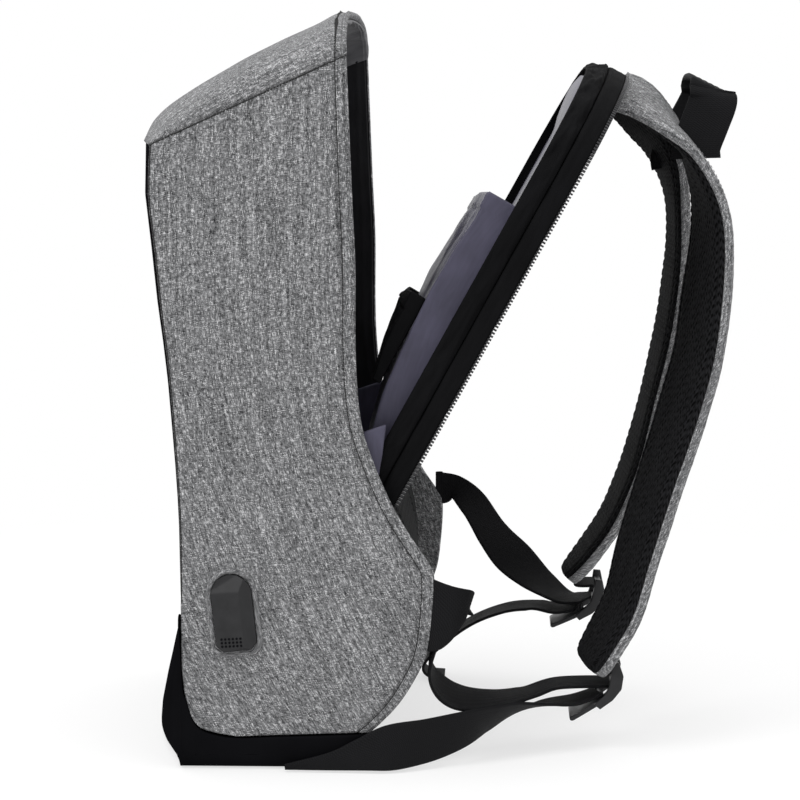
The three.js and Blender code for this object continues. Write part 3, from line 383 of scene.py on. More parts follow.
def declare_sheet(grid: Array) -> None:
    """Work out the flat width, length and area of a sheet of cloth from its grid; nothing is kept.

    Args:
        grid: The middle face of the cloth.
    """
    width = float(run_lengths(grid, 1)[:, -1].max())
    length = float(run_lengths(grid, 0)[-1].max())
    surface_area(grid)


# Repeats by Geometry Nodes

MARK_SHAPES = {
    Mark.STITCH: ("GeometryNodeMeshUVSphere", {"Segments": 6, "Rings": 4, "Radius": 0.5}),
    Mark.TOOTH: ("GeometryNodeMeshCube", {"Size": (1, 1, 1)}),
    Mark.STUD: ("GeometryNodeMeshCylinder", {"Vertices": 10, "Radius": 0.5, "Depth": 1}),
}


@dataclass(frozen=True)
class PathRepeat:
    """A small shape repeated along a path on a surface.

    The size is the length along the path, the width across it, and the height.
    """

    mark: Mark
    spacing: float
    size: tuple[float, float, float]

    def tree(self) -> NodeTree:
        """Build the node tree that repeats the shape along its mesh's edges."""
        tree = bpy.data.node_groups.new(f"repeat_{self.mark.value}", "GeometryNodeTree")
        for name, kind in (
            ("Path", "Geometry"), ("Spacing", "Float"), ("Size", "Vector"), ("Finish", "Material"),
        ):
            tree.interface.new_socket(name, in_out="INPUT", socket_type=f"NodeSocket{kind}")
        tree.interface.new_socket("Copies", in_out="OUTPUT", socket_type="NodeSocketGeometry")
        node, link = tree.nodes.new, tree.links.new
        given, result = node("NodeGroupInput"), node("NodeGroupOutput")
        curve, even = node("GeometryNodeMeshToCurve"), node("GeometryNodeResampleCurve")
        even.mode = "LENGTH"
        link(given.outputs["Path"], curve.inputs[0])
        link(curve.outputs[0], even.inputs["Curve"])
        link(given.outputs["Spacing"], even.inputs["Length"])
        up, tangent = node("GeometryNodeInputNamedAttribute"), node("GeometryNodeInputTangent")
        up.data_type = "FLOAT_VECTOR"
        up.inputs["Name"].default_value = "up"
        stand, lie = node("FunctionNodeAlignRotationToVector"), node("FunctionNodeAlignRotationToVector")
        stand.axis, lie.axis, lie.pivot_axis = "Z", "X", "Z"
        link(up.outputs["Attribute"], stand.inputs["Vector"])
        link(stand.outputs[0], lie.inputs["Rotation"])
        link(tangent.outputs[0], lie.inputs["Vector"])
        copies = node("GeometryNodeInstanceOnPoints")
        link(even.outputs[0], copies.inputs["Points"])
        link(self.shape(tree), copies.inputs["Instance"])
        link(lie.outputs[0], copies.inputs["Rotation"])
        link(given.outputs["Size"], copies.inputs["Scale"])
        real, dressed = node("GeometryNodeRealizeInstances"), node("GeometryNodeSetMaterial")
        link(copies.outputs[0], real.inputs[0])
        link(real.outputs[0], dressed.inputs["Geometry"])
        link(given.outputs["Finish"], dressed.inputs["Material"])
        link(dressed.outputs[0], result.inputs[0])
        return tree

    def shape(self, tree: NodeTree) -> NodeSocket:
        """Add the repeated shape to a tree, one unit long, wide and high.

        Args:
            tree: The tree.

        Returns:
            The shape's geometry socket.
        """
        kind, sizes = MARK_SHAPES[self.mark]
        maker = tree.nodes.new(kind)
        for name, value in sizes.items():
            maker.inputs[name].default_value = value
        return maker.outputs[0]

    def along(self, name: str, paths: Sequence[Line], finish: Material) -> Object:
        """Repeat the shape along several paths, as one plain mesh.

        Args:
            name: Its name.
            paths: Points of each path, with their upward directions.
            finish: Material of the copies.

        Returns:
            The new object.
        """
        points = np.concatenate([p for p, _ in paths])
        ups = np.concatenate([u for _, u in paths])
        edges, start = [], 0
        for path, _ in paths:
            edges += [(start + k, start + k + 1) for k in range(len(path) - 1)]
            start += len(path)
        mesh = bpy.data.meshes.new(f"{name}_path")
        mesh.from_pydata(points.tolist(), edges, [])
        attribute = mesh.attributes.new("up", "FLOAT_VECTOR", "POINT")
        attribute.data.foreach_set("vector", ups.ravel())
        carrier = put(f"{name}_path", mesh)
        modifier = carrier.modifiers.new("repeat", "NODES")
        modifier.node_group = self.tree()
        values = {"Spacing": self.spacing, "Size": self.size, "Finish": finish}
        for item in modifier.node_group.interface.items_tree:
            if item.name in values:
                modifier[item.identifier] = values[item.name]
        carrier.update_tag()
        graph = bpy.context.evaluated_depsgraph_get()
        graph.update()
        made = bpy.data.meshes.new_from_object(carrier.evaluated_get(graph))
        bpy.data.objects.remove(carrier)
        made.name = name
        made.polygons.foreach_set("use_smooth", [self.mark is Mark.STITCH] * len(made.polygons))
        return put(name, made)


# Finishes


def tint(colour: Colour, share: float) -> Colour:
    """Return a colour made darker or lighter by a share."""
    return tuple(share * c for c in colour)


class Shader:
    """A small writer of material nodes."""

    def __init__(self, name: str) -> None:
        """Start an empty material.

        Args:
            name: The material's name.
        """
        self.material = bpy.data.materials.new(name)
        self.material.use_nodes = True
        self.tree = self.material.node_tree
        self.tree.nodes.clear()
        self.surface = self.tree.nodes.new("ShaderNodeBsdfPrincipled")
        output = self.tree.nodes.new("ShaderNodeOutputMaterial")
        self.tree.links.new(self.surface.outputs[0], output.inputs[0])

    def wire(self, socket: NodeSocket, value: object) -> None:
        """Link a socket to another, or set its number."""
        if isinstance(value, NodeSocket):
            self.tree.links.new(value, socket)
        else:
            socket.default_value = value

    def node(self, kind: str, **values: object) -> bpy.types.Node:
        """Add a node and set its inputs.

        Args:
            kind: The node's type.
            **values: A number or socket for each input, an underscore standing for a space.

        Returns:
            The node.
        """
        made = self.tree.nodes.new(kind)
        for name, value in values.items():
            self.wire(made.inputs[name.replace("_", " ")], value)
        return made

    def uv(self) -> tuple[NodeSocket, NodeSocket]:
        """Return the two texture places of the piece, in metres."""
        source = self.node("ShaderNodeUVMap")
        source.uv_map = WEAVE
        parts = self.node("ShaderNodeSeparateXYZ", Vector=source.outputs[0])
        return parts.outputs[0], parts.outputs[1]

    def place(self) -> NodeSocket:
        """Return the point's place on the object, in metres."""
        return self.node("ShaderNodeTexCoord").outputs["Object"]

    def math(self, kind: str, *numbers: object) -> NodeSocket:
        """Work out one sum.

        Args:
            kind: The Math node's operation.
            *numbers: Its numbers or sockets.

        Returns:
            The result's socket.
        """
        made = self.node("ShaderNodeMath")
        made.operation = kind
        for socket, value in zip(made.inputs, numbers):
            self.wire(socket, value)
        return made.outputs[0]

    def times(self, first: object, second: object) -> NodeSocket:
        """Multiply two numbers or sockets."""
        return self.math("MULTIPLY", first, second)

    def line(self, value: object, slope: object, offset: object) -> NodeSocket:
        """Multiply a number or socket by a slope, and add an offset."""
        return self.math("MULTIPLY_ADD", value, slope, offset)

    def vector(self, x: object, y: object, z: object) -> NodeSocket:
        """Join three numbers or sockets into a vector."""
        return self.node("ShaderNodeCombineXYZ", X=x, Y=y, Z=z).outputs[0]

    def noise(self, where: NodeSocket, scale: float, detail: float = 2.0) -> NodeSocket:
        """Return noise from 0 to 1 at a place, with a scale's hills for each metre."""
        return self.node("ShaderNodeTexNoise", Vector=where, Scale=scale, Detail=detail).outputs[0]

    def ramp(self, value: NodeSocket, stops: Sequence[tuple[float, Colour]]) -> NodeSocket:
        """Turn a number into a colour.

        Args:
            value: The number.
            stops: Places on the ramp, each with its colour.

        Returns:
            The colour's socket.
        """
        scale = self.tree.nodes.new("ShaderNodeValToRGB")
        self.tree.links.new(value, scale.inputs[0])
        scale.color_ramp.elements[0].position = stops[0][0]
        scale.color_ramp.elements[0].color = (*stops[0][1], 1)
        scale.color_ramp.elements[1].position = stops[-1][0]
        scale.color_ramp.elements[1].color = (*stops[-1][1], 1)
        for position, colour in stops[1:-1]:
            scale.color_ramp.elements.new(position).color = (*colour, 1)
        return scale.outputs[0]

    def bump(self, height: NodeSocket, distance: float, strength: float = 1.0) -> None:
        """Raise the surface by a height from 0 to 1, which stands for a distance in metres."""
        bump = self.node("ShaderNodeBump", Height=height, Distance=distance, Strength=strength)
        self.tree.links.new(bump.outputs[0], self.surface.inputs["Normal"])

    def set(self, **values: object) -> None:
        """Set the surface's own sockets; an underscore stands for a space."""
        for name, value in values.items():
            self.wire(self.surface.inputs[name.replace("_", " ")], value)


@dataclass(frozen=True)
class Melange:
    """Plain-woven canvas of dark and light grey threads with slubs."""

    name: str
    pitch: float = 0.56 * MM
    slub: float = 3.2 * MM
    dark: Colour = (0.014, 0.014, 0.016)
    middle: Colour = (0.118, 0.119, 0.122)
    light: Colour = (0.62, 0.62, 0.63)

    def build(self) -> Material:
        """Build the material."""
        s = Shader(self.name)
        u, v = s.uv()
        warp_at, weft_at = s.math("DIVIDE", u, self.pitch), s.math("DIVIDE", v, self.pitch)
        warp_no, weft_no = s.math("FLOOR", warp_at), s.math("FLOOR", weft_at)
        run_v, run_u = s.math("DIVIDE", v, self.slub), s.math("DIVIDE", u, 0.75 * self.slub)
        warp = s.noise(s.vector(s.times(warp_no, 5.17), run_v, 0.0), 1.0, 4.0)
        weft = s.noise(s.vector(run_u, s.times(weft_no, 5.17), 9.0), 1.0, 4.0)
        over = s.math("FLOORED_MODULO", s.math("ADD", warp_no, weft_no), 2.0)
        share = s.line(over, 0.6, 0.25)
        difference = s.math("SUBTRACT", warp, weft)
        thread = s.line(difference, share, weft)
        streak = s.vector(s.math("DIVIDE", u, 1.6 * MM), s.math("DIVIDE", v, 60 * MM), 4.0)
        cloud = s.noise(streak, 1.0, 2.0)
        tone = s.line(s.math("SUBTRACT", cloud, 0.5), 0.2, thread)
        colour = s.ramp(tone, [
            (0.34, self.dark),
            (0.46, self.middle),
            (0.54, tint(self.middle, 1.75)),
            (0.68, self.light),
        ])
        round_u = s.math("SINE", s.times(s.math("FRACT", warp_at), pi))
        round_v = s.math("SINE", s.times(s.math("FRACT", weft_at), pi))
        lift = s.line(s.math("SUBTRACT", round_u, round_v), over, round_v)
        s.bump(s.line(tone, 0.8, lift), 0.22 * MM, 0.55)
        rough = s.line(tone, -0.2, 0.98)
        s.set(Base_Color=colour, Roughness=rough, Specular_IOR_Level=0.15)
        s.set(Sheen_Weight=0.06, Sheen_Roughness=0.5)
        return s.material


@dataclass(frozen=True)
class PlainCloth:
    """A finely woven cloth of one colour, with folds that show by their sheen."""

    name: str
    colour: Colour
    pitch: float = 0.5 * MM
    roughness: float = 0.6
    sheen: float = 0.3
    relief: float = 0.1 * MM
    slant: float = 0.0
    spread: float = 0.25
    gloss: float = 0.12

    def build(self) -> Material:
        """Build the material."""
        s = Shader(self.name)
        u, v = s.uv()
        turn = 2 * pi / self.pitch
        across = s.math("SINE", s.times(s.line(v, self.slant, u), turn))
        down = s.math("SINE", s.times(v, turn * (1 - 0.5 * self.slant)))
        weave = s.line(s.times(across, down), 0.5, 0.5)
        thread = s.noise(s.vector(s.times(u, 400.0), s.times(v, 60.0), 0.0), 1.0, 2.0)
        cloud = s.noise(s.place(), 35.0, 3.0)
        tone = s.line(s.math("SUBTRACT", thread, 0.5), 0.5, cloud)
        low = tint(self.colour, 1 - self.spread)
        high = tint(self.colour, 1 + self.spread)
        # The weave's height also tints the colour a little: painted shade in its dips, painted highlight on
        # its crowns.
        colour = s.ramp(s.line(weave, 0.12, tone), [(0.3, low), (0.8, high)])
        s.bump(weave, self.relief, 0.5)
        rough = s.line(cloud, 0.2, self.roughness - 0.1)
        s.set(Base_Color=colour, Roughness=rough, Sheen_Weight=self.sheen, Sheen_Roughness=0.45)
        s.set(Specular_IOR_Level=self.gloss)
        return s.material


@dataclass(frozen=True)
class CoatedCloth:
    """Black coated cloth, smooth with a fine grain and rubbed edges."""

    name: str
    colour: Colour = (0.0045, 0.0045, 0.0052)
    roughness: float = 0.4

    def build(self) -> Material:
        """Build the material."""
        s = Shader(self.name)
        where = s.place()
        grain = s.noise(where, 2600.0, 2.0)
        cloud = s.noise(where, 22.0, 3.0)
        scuff = s.noise(where, 160.0, 4.0)
        edge = s.node("ShaderNodeNewGeometry").outputs["Pointiness"]
        rubbed = s.times(s.math("MAXIMUM", s.math("SUBTRACT", edge, 0.53), 0.0), 3.0)
        tone = s.math("ADD", s.line(cloud, 0.6, 0.1), rubbed)
        colour = s.ramp(tone, [
            (0.2, tint(self.colour, 0.7)),
            (0.8, tint(self.colour, 1.6)),
        ])
        s.bump(s.line(scuff, 0.6, grain), 0.06 * MM, 0.4)
        rough = s.line(scuff, 0.22, self.roughness - 0.1)
        s.set(Base_Color=colour, Roughness=rough, Specular_IOR_Level=0.0)
        return s.material


@dataclass(frozen=True)
class SpacerMesh:
    """Black knitted spacer mesh with small open cells, with shade painted into the cells and highlight
    painted onto the raised yarn.
    """

    name: str
    cell: float = 4.2 * MM
    rib: float = 5.6 * MM
    yarn: Colour = (0.0035, 0.0035, 0.0038)

    def build(self) -> Material:
        """Build the material."""
        s = Shader(self.name)
        u, v = s.uv()
        across = s.math("COSINE", s.times(u, 2 * pi / self.cell))
        down = s.math("COSINE", s.times(v, 2 * pi / self.rib))
        cell = s.line(s.times(across, down), 0.5, 0.5)
        fibre = s.noise(s.vector(s.times(u, 1800.0), s.times(v, 700.0), 0.0), 1.0, 3.0)
        yarn_height = s.math("SMOOTH_MIN", s.times(cell, 1.6), 1.0, 0.3)
        # The ramp follows the yarn's height: the low cells are painted dark as shade and the raised yarn
        # painted light as highlight; the yarn is one black.
        colour = s.ramp(s.times(yarn_height, s.line(fibre, 0.6, 0.6)), [
            (0.08, tint(self.yarn, 0.1)),
            (0.4, self.yarn),
            (1.0, tint(self.yarn, 5.0)),
        ])
        s.bump(s.line(fibre, 0.25, yarn_height), 0.5 * MM, 0.7)
        rough = s.line(fibre, 0.3, 0.6)
        s.set(Base_Color=colour, Roughness=rough, Specular_IOR_Level=0.05)
        return s.material


@dataclass(frozen=True)
class Webbing:
    """Ribbed black webbing, woven across its length."""

    name: str
    rib: float = 1.3 * MM
    cord: float = 2.1 * MM
    colour: Colour = (0.005, 0.005, 0.0055)

    def build(self) -> Material:
        """Build the material."""
        s = Shader(self.name)
        u, v = s.uv()
        cords = s.math("SINE", s.times(u, 2 * pi / self.cord))
        lean = s.line(cords, 0.25, s.math("DIVIDE", v, self.rib))
        ribs = s.math("ABSOLUTE", s.math("SINE", s.times(lean, pi)))
        fibre = s.noise(s.vector(s.times(u, 2500.0), s.times(v, 900.0), 3.0), 1.0, 2.0)
        wear = s.noise(s.place(), 60.0, 3.0)
        # The ribs' valleys are painted darker as shade and their crowns lighter as highlight; the wear
        # noise adds random tone.
        tone = s.times(s.line(fibre, 0.6, 0.5), s.line(ribs, 0.7, 0.3))
        colour = s.ramp(s.line(wear, 0.25, tone), [
            (0.2, tint(self.colour, 0.4)),
            (1.0, tint(self.colour, 2.4)),
        ])
        s.bump(s.line(fibre, 0.2, ribs), 0.3 * MM, 0.7)
        rough = s.line(wear, 0.25, 0.5)
        s.set(Base_Color=colour, Roughness=rough, Specular_IOR_Level=0.06)
        return s.material


@dataclass(frozen=True)
class Moulded:
    """Black moulded plastic with a fine spark-eroded texture."""

    name: str
    colour: Colour = (0.017, 0.017, 0.018)
    roughness: float = 0.36
    grain: float = 0.05 * MM

    def build(self) -> Material:
        """Build the material."""
        s = Shader(self.name)
        where = s.place()
        fine = s.noise(where, 3200.0, 2.0)
        wear = s.noise(where, 120.0, 4.0)
        colour = s.ramp(s.line(fine, 0.3, wear), [
            (0.3, tint(self.colour, 0.8)),
            (1.0, tint(self.colour, 1.5)),
        ])
        s.bump(fine, self.grain, 0.4)
        rough = s.line(wear, 0.2, self.roughness - 0.1)
        s.set(Base_Color=colour, Roughness=rough, Specular_IOR_Level=0.2)
        return s.material


@dataclass(frozen=True)
class Thread:
    """Sewing thread."""

    name: str
    colour: Colour

    def build(self) -> Material:
        """Build the material."""
        s = Shader(self.name)
        twist = s.noise(s.place(), 1500.0, 2.0)
        colour = s.ramp(twist, [
            (0.3, tint(self.colour, 0.7)),
            (0.7, tint(self.colour, 1.3)),
        ])
        s.bump(twist, 0.05 * MM, 0.5)
        s.set(Base_Color=colour, Roughness=s.line(twist, 0.2, 0.5))
        return s.material


@dataclass
class Wardrobe:
    """Every finish of the bag, built once."""

    def __post_init__(self) -> None:
        """Build the materials."""
        self.canvas = Melange("melange_canvas").build()
        self.shell = CoatedCloth("coated_shell").build()
        self.mesh = SpacerMesh("air_mesh").build()
        self.tape = PlainCloth(
            "zip_tape", (0.0045, 0.0045, 0.005),
            pitch=0.8 * MM, roughness=0.8, sheen=0, relief=0.14 * MM, gloss=0.05,
        ).build()
        self.lavender = PlainCloth(
            "lavender_lining", (0.062, 0.059, 0.090),
            pitch=0.4 * MM, roughness=0.36, sheen=0.06, relief=0.05 * MM, slant=1, gloss=0.2,
        ).build()
        # Painted light: a lighter grey copy of the dark lining, for the roof's lining lit through the
        # opening.
        self.grey = PlainCloth("dark_lining_painted_lit", (0.15, 0.15, 0.157), roughness=0.55, sheen=0.05).build()
        self.dark = PlainCloth(
            "dark_lining", (0.017, 0.017, 0.019), roughness=0.55, sheen=0.02, gloss=0.08,
        ).build()
        self.webbing = Webbing("webbing").build()
        self.plastic = Moulded("moulded_plastic").build()
        self.grey_thread = Thread("grey_thread", (0.10, 0.10, 0.105)).build()
        self.dark_thread = Thread("dark_thread", (0.035, 0.035, 0.037)).build()
        # Near-black, used only for the cords that paint the shade in the seams' grooves.
        self.painted_seam_shade = Thread("painted_seam_shade", (0.002, 0.002, 0.002)).build()
        self.teeth = Moulded("zip_teeth", (0.03, 0.03, 0.032), 0.35).build()


# Shared sizes and tables. Tables hold shares of the named sizes.


@dataclass(frozen=True)
class Bag:
    """Driving sizes of the bag's body, in metres."""

    body_height: float = 456 * MM
    half_width: float = 144 * MM
    side_depth: float = 168 * MM
    front_edge: float = -73 * MM
    side_bulge: float = 3 * MM
    wall: float = 4 * MM
    gap: float = 0.3 * MM
    front_crown: float = 15.3 * MM
    low_crown: float = 9 * MM
    riser: float = 92 * MM
    hem: float = 6.5 * MM
    lining: float = 1.2 * MM
    lining_gap: float = 0.4 * MM
    arch_power: float = 3.0

    def depth(self, share: Array) -> Array:
        """Return the Y of a depth share."""
        return self.front_edge + share * self.side_depth

    def height(self, share: Array) -> Array:
        """Return the Z of a height share."""
        return share * self.body_height


@dataclass(frozen=True)
class Cut:
    """How one face of a panel is cut: depth, first row of its table, grid, relief and margin."""

    inward: float
    first: int
    rows: int
    columns: int
    relief: float = 0.3
    margin: float = 0.0


BAG = Bag()
TOP_STITCH = PathRepeat(Mark.STITCH, 3.4 * MM, (2.3 * MM, 0.5 * MM, 0.42 * MM))
# A near-black cord laid in seam grooves and joins as painted shade.
SEAM_SHADE_CORD = PathRepeat(Mark.STITCH, 2.0 * MM, (2.9 * MM, 1.1 * MM, 0.7 * MM))
SEAM_LIFT = 0.1 * MM
# Ends of the lines that sew the webbing into a wing, as Y and Z in millimetres.
WING_MARKS = ((48, 118, 84, 76), (54, 124, 88, 84))
WING_BOW = 4 * MM

SIDE_ROWS = [
    [0.28, 0.045, 0.774, 0.052], [0.178, 0.053, 0.81, 0.064], [0.137, 0.068, 0.875, 0.09],
    [0.113, 0.099, 0.935, 0.125], [0.101, 0.138, 0.976, 0.16], [0.101, 0.186, 0.994, 0.208],
    [0.101, 0.23, 1, 0.257], [0.101, 0.268, 0.982, 0.276], [0.101, 0.311, 0.929, 0.305],
    [0.098, 0.351, 0.881, 0.333], [0.092, 0.395, 0.839, 0.362], [0.083, 0.445, 0.786, 0.408],
    [0.071, 0.507, 0.744, 0.456], [0.057, 0.559, 0.726, 0.511], [0.039, 0.614, 0.72, 0.575],
    [0.021, 0.684, 0.72, 0.669], [0, 0.757, 0.708, 0.768], [0.006, 0.825, 0.69, 0.939],
]
ROOF_ROWS = [
    [0.006, 0.8265, -0.085, 0.832], [0.05, 0.8375, -0.05, 0.856], [0.12, 0.856, 0.04, 0.884],
    [0.27, 0.8935, 0.225, 0.924], [0.42, 0.9255, 0.4, 0.956], [0.56, 0.943, 0.55, 0.982],
    [0.64, 0.9445, 0.63, 0.997], [0.69, 0.946, 0.678, 0.9985],
]
BOOT_RIM = [
    [0, 0.101, 1, 1], [0.2, 0.101, 1, 1], [0.4, 0.101, 1, 1], [0.6, 0.101, 1, 1], [0.78, 0.101, 1, 1],
    [0.9, 0.096, 1, 1], [0.968, 0.087, 1, 1], [1, 0.088, 1, 0], [1, 0.0995, 0.56, 0], [1, 0.112, 0.46, 0],
    [1, 0.136, 0.325, 0], [1, 0.177, 0.25, 0], [1, 0.28, 0.21, 0], [1, 0.44, 0.22, 0], [1, 0.61, 0.23, 0],
    [1, 0.752, 0.242, 0], [0.97, 0.776, 0.242, 0], [0.85, 0.782, 0.242, 0], [0.6, 0.786, 0.242, 0],
    [0.3, 0.788, 0.242, 0], [0, 0.788, 0.242, 0],
]
LOWER_BACK_ROWS = [
    [0.06, 0.74], [0.1, 0.8], [0.15, 0.855], [0.2, 0.885], [0.25, 0.89], [0.295, 0.872], [0.3285, 0.842],
]


def arch_shares(count: int) -> Array:
    """Return shares from -1 to 1 across an arch, close together at both seams."""
    even = np.linspace(-1, 1, count)
    share = np.sign(even) * (1 - (1 - np.abs(even)) ** 1.5)
    return np.sin(share * pi / 2)


def crown_share(x: Array) -> Array:
    """Return the front's crown across the width, 1 in the middle and 0 at the seams."""
    return 1 - np.minimum(1, np.abs(x) / BAG.half_width) ** 2


def front_crown(z: Array) -> Array:
    """Return the front's crown at a height, fuller towards the roof."""
    top, foot = BAG.height(SIDE_ROWS[-1][1]), BAG.riser
    share = np.sqrt(np.clip((z - foot) / (top - foot), 0, 1))
    return BAG.low_crown + (BAG.front_crown - BAG.low_crown) * share


def front_edge_at(z: Array) -> Array:
    """Return the Y of the side panels' front edge at a height."""
    rows = np.array(SIDE_ROWS[5:])
    return BAG.depth(np.interp(z / BAG.body_height, rows[:, 1], rows[:, 0]))


@dataclass
class SidePanel:
    """One melange side panel with its hem, its wing and its lining."""

    side: Side
    wardrobe: Wardrobe
    rows: int = 190
    columns: int = 130
    ends: float = 0.75
    lined_share: float = 0.775

    def flat(self, cut: Cut) -> tuple[Array, Array, Array, Array]:
        """Lay out a face's grid without relief.

        Args:
            cut: How the face is cut.

        Returns:
            Y, Z, the share across, and the share up.
        """
        last = len(SIDE_ROWS) - 1
        at = cut.first + (last - cut.first) * spaced(cut.rows, 0.35)
        across = cut.margin + (1 - 2 * cut.margin) * spaced(cut.columns, self.ends)
        table = smooth_rows(SIDE_ROWS, at)
        front_y, rear_y = BAG.depth(table[:, :1]), BAG.depth(table[:, 2:3])
        front_z, rear_z = BAG.height(table[:, 1:2]), BAG.height(table[:, 3:4])
        y = front_y + (rear_y - front_y) * across
        z = front_z + (rear_z - front_z) * across
        return y, z, np.broadcast_to(across, y.shape), np.broadcast_to((at / last)[:, None], y.shape)

    def relief(self, y: Array, z: Array, across: Array) -> Array:
        """Return how far the cloth stands out, with its hem, seams and gathers."""
        span = np.linalg.norm(np.stack([y[:, -1] - y[:, 0], z[:, -1] - z[:, 0]], -1), axis=-1)[:, None]
        rear, front = (1 - across) * span, across * span
        flat = np.stack([np.full_like(y, 0.1 * self.side.value), y, z], -1)
        waves = 1.3 * MM * soft_noise(flat, 75 * MM, 3.1) + 0.35 * MM * soft_noise(flat, 24 * MM, 8.4)
        quiet = smoothstep(np.minimum(rear, front), 0, 25 * MM)
        hem = 0.55 * MM * (1 - smoothstep(rear, BAG.hem - 1 * MM, BAG.hem + 0.6 * MM))
        groove = -1.1 * MM * bell(rear, BAG.hem + 0.8 * MM, 1.1 * MM)
        pucker = 0.22 * MM * gathers(z, np.abs(rear - BAG.hem), 7 * MM, 6 * MM, 2.0)
        rolled = -1.2 * MM * bell(front, 0, 1.6 * MM) - 1.0 * MM * bell(rear, 0, 1.2 * MM)
        side_pucker = 0.3 * MM * gathers(z, front, 11 * MM, 8 * MM, 5.0)
        low = smoothstep(0.16 - z, 0, 0.06)
        wing = 0.9 * MM * np.sin((y * 0.6 + z) * 2 * pi / 0.045) * low * smoothstep(y, 0.035, 0.08)
        return waves * quiet + hem + groove + pucker + rolled + side_pucker + wing * quiet

    def surface(self, cut: Cut) -> Array:
        """Return the grid of one face of the panel.

        Args:
            cut: How the face is cut.

        Returns:
            The grid of points.
        """
        y, z, across, up = self.flat(cut)
        bulge = BAG.side_bulge * np.sin(np.pi * across) * np.sin(np.pi * up)
        x = BAG.half_width + bulge - cut.inward + cut.relief * self.relief(y, z, across)
        return np.stack([self.side.value * x, y, z], -1)

    def weave(self, grid: Array) -> Array:
        """Return texture places whose threads lean back towards the wing."""
        y, z = grid[..., 1], grid[..., 2]
        lean = tan(radians(17))
        below = np.maximum(0, 0.30 - z)
        drift = lean * np.minimum(below**2 / 0.28, below)
        return np.stack([y - drift, z + 0.12 * drift], -1)

    def build(self) -> None:
        """Build the panel, its lining and its stitching."""
        label = self.side.label
        outer = self.surface(Cut(0, 0, self.rows, self.columns, 1))
        inner = self.surface(Cut(BAG.wall, 0, self.rows, self.columns))
        piece = slab(
            f"side_panel_{label}_cloth", outer, inner, self.weave(outer),
            self.wardrobe.canvas, self.wardrobe.dark, 0.25,
        )
        wing = BAG.depth(self.lined_share)
        for polygon in piece.data.polygons:
            if polygon.center.y > wing:
                polygon.material_index = 0
        place(piece, "melange_canvas", f"side_panel_{label}")
        start = BAG.wall + BAG.lining_gap
        depths = (start, start + BAG.lining)
        faces = [self.surface(Cut(inward, 2, 90, 60, margin=0.014)) for inward in depths]
        for face in faces:
            front, rear = face[:, :1, 1], face[:, -1:, 1]
            keep = np.minimum(1, (wing - front) / (rear - front))
            face[..., 1] = front + (face[..., 1] - front) * keep
        outer_face, inner_face = faces
        folds = soft_noise(inner_face, 30 * MM, 6.0) + 0.5 * soft_noise(inner_face, 12 * MM, 1.0)
        inner_face[..., 0] -= self.side.value * 1.6 * MM * np.maximum(0, folds)
        uv = np.stack([inner_face[..., 1], inner_face[..., 2]], -1)
        lining = slab(f"side_lining_{label}_cloth", outer_face, inner_face, uv, self.wardrobe.dark)
        place(lining, "dark_lining", f"side_lining_{label}")
        declare_sheet(inner_face)
        self.stitch(outer)

    def rear_line(self, grid: Array, normal: Array, inset: float) -> Array:
        """Follow a line beside the rear edge.

        Args:
            grid: The outer face.
            normal: Its normals.
            inset: The line's distance from the edge.

        Returns:
            A place and a normal for each row, as six numbers.
        """
        span = np.linalg.norm(grid[:, -1] - grid[:, 0], axis=-1)[:, None]
        away = ((1 - spaced(self.columns, self.ends)) * span)[:, ::-1]
        values = np.concatenate([grid, normal], -1)[:, ::-1]
        return np.array([
            [np.interp(inset, line, column) for column in row.T] for line, row in zip(away, values)
        ])

    def stitch(self, outer: Array) -> None:
        """Sew the rear hem, the roof seam and the bottom edge, and lay near-black cords along the hem, the
        roof seam and the front edge as painted shade in their grooves.
        """
        normal = grid_normals(outer)
        if np.mean(normal[..., 0]) * self.side.value < 0:
            normal = -normal
        lines = [self.rear_line(outer, normal, inset)[4:-3] for inset in (1.6 * MM, BAG.hem - 1.2 * MM)]
        lines = [(path[:, :3], path[:, 3:]) for path in lines]
        for row in (3, self.rows - 4):
            lines.append((outer[row, 6:-6], normal[row, 6:-6]))
        lines += self.wing_lines(outer, normal)
        label, wardrobe = self.side.label, self.wardrobe
        sewn = TOP_STITCH.along(f"side_stitches_{label}", even_lines(lines, 400), wardrobe.dark_thread)
        place(sewn, "melange_canvas")
        # Near-black cords along the hem's groove, the roof seam and the front edge: painted shade in these
        # seams.
        hem = self.rear_line(outer, normal, BAG.hem)[2:]
        seams = [
            (hem[:, :3], hem[:, 3:]),
            (outer[-1] + np.array([0, 0, SEAM_LIFT]), normal[-1]),
            (outer[70:, 0] - np.array([0, SEAM_LIFT, 0]), normal[70:, 0]),
        ]
        seam_shade_cords = SEAM_SHADE_CORD.along(f"side_seams_{label}", even_lines(seams, 700), wardrobe.painted_seam_shade)
        place(seam_shade_cords, "melange_canvas")

    def wing_lines(self, outer: Array, normal: Array) -> list[Line]:
        """Return the two lines that sew the webbing's end into the wing."""
        lines = []
        flat = outer.reshape(-1, 3)
        for y0, z0, y1, z1 in WING_MARKS:
            marks = np.linspace([y0 * MM, z0 * MM], [y1 * MM, z1 * MM], 40)
            marks[:, 0] += WING_BOW * np.sin(np.linspace(0, pi, 40))
            near = [np.argmin((flat[:, 1] - y) ** 2 + (flat[:, 2] - z) ** 2) for y, z in marks]
            points = np.stack([flat[near, 0], marks[:, 0], marks[:, 1]], -1)
            lines.append((points, normal.reshape(-1, 3)[near]))
        return lines


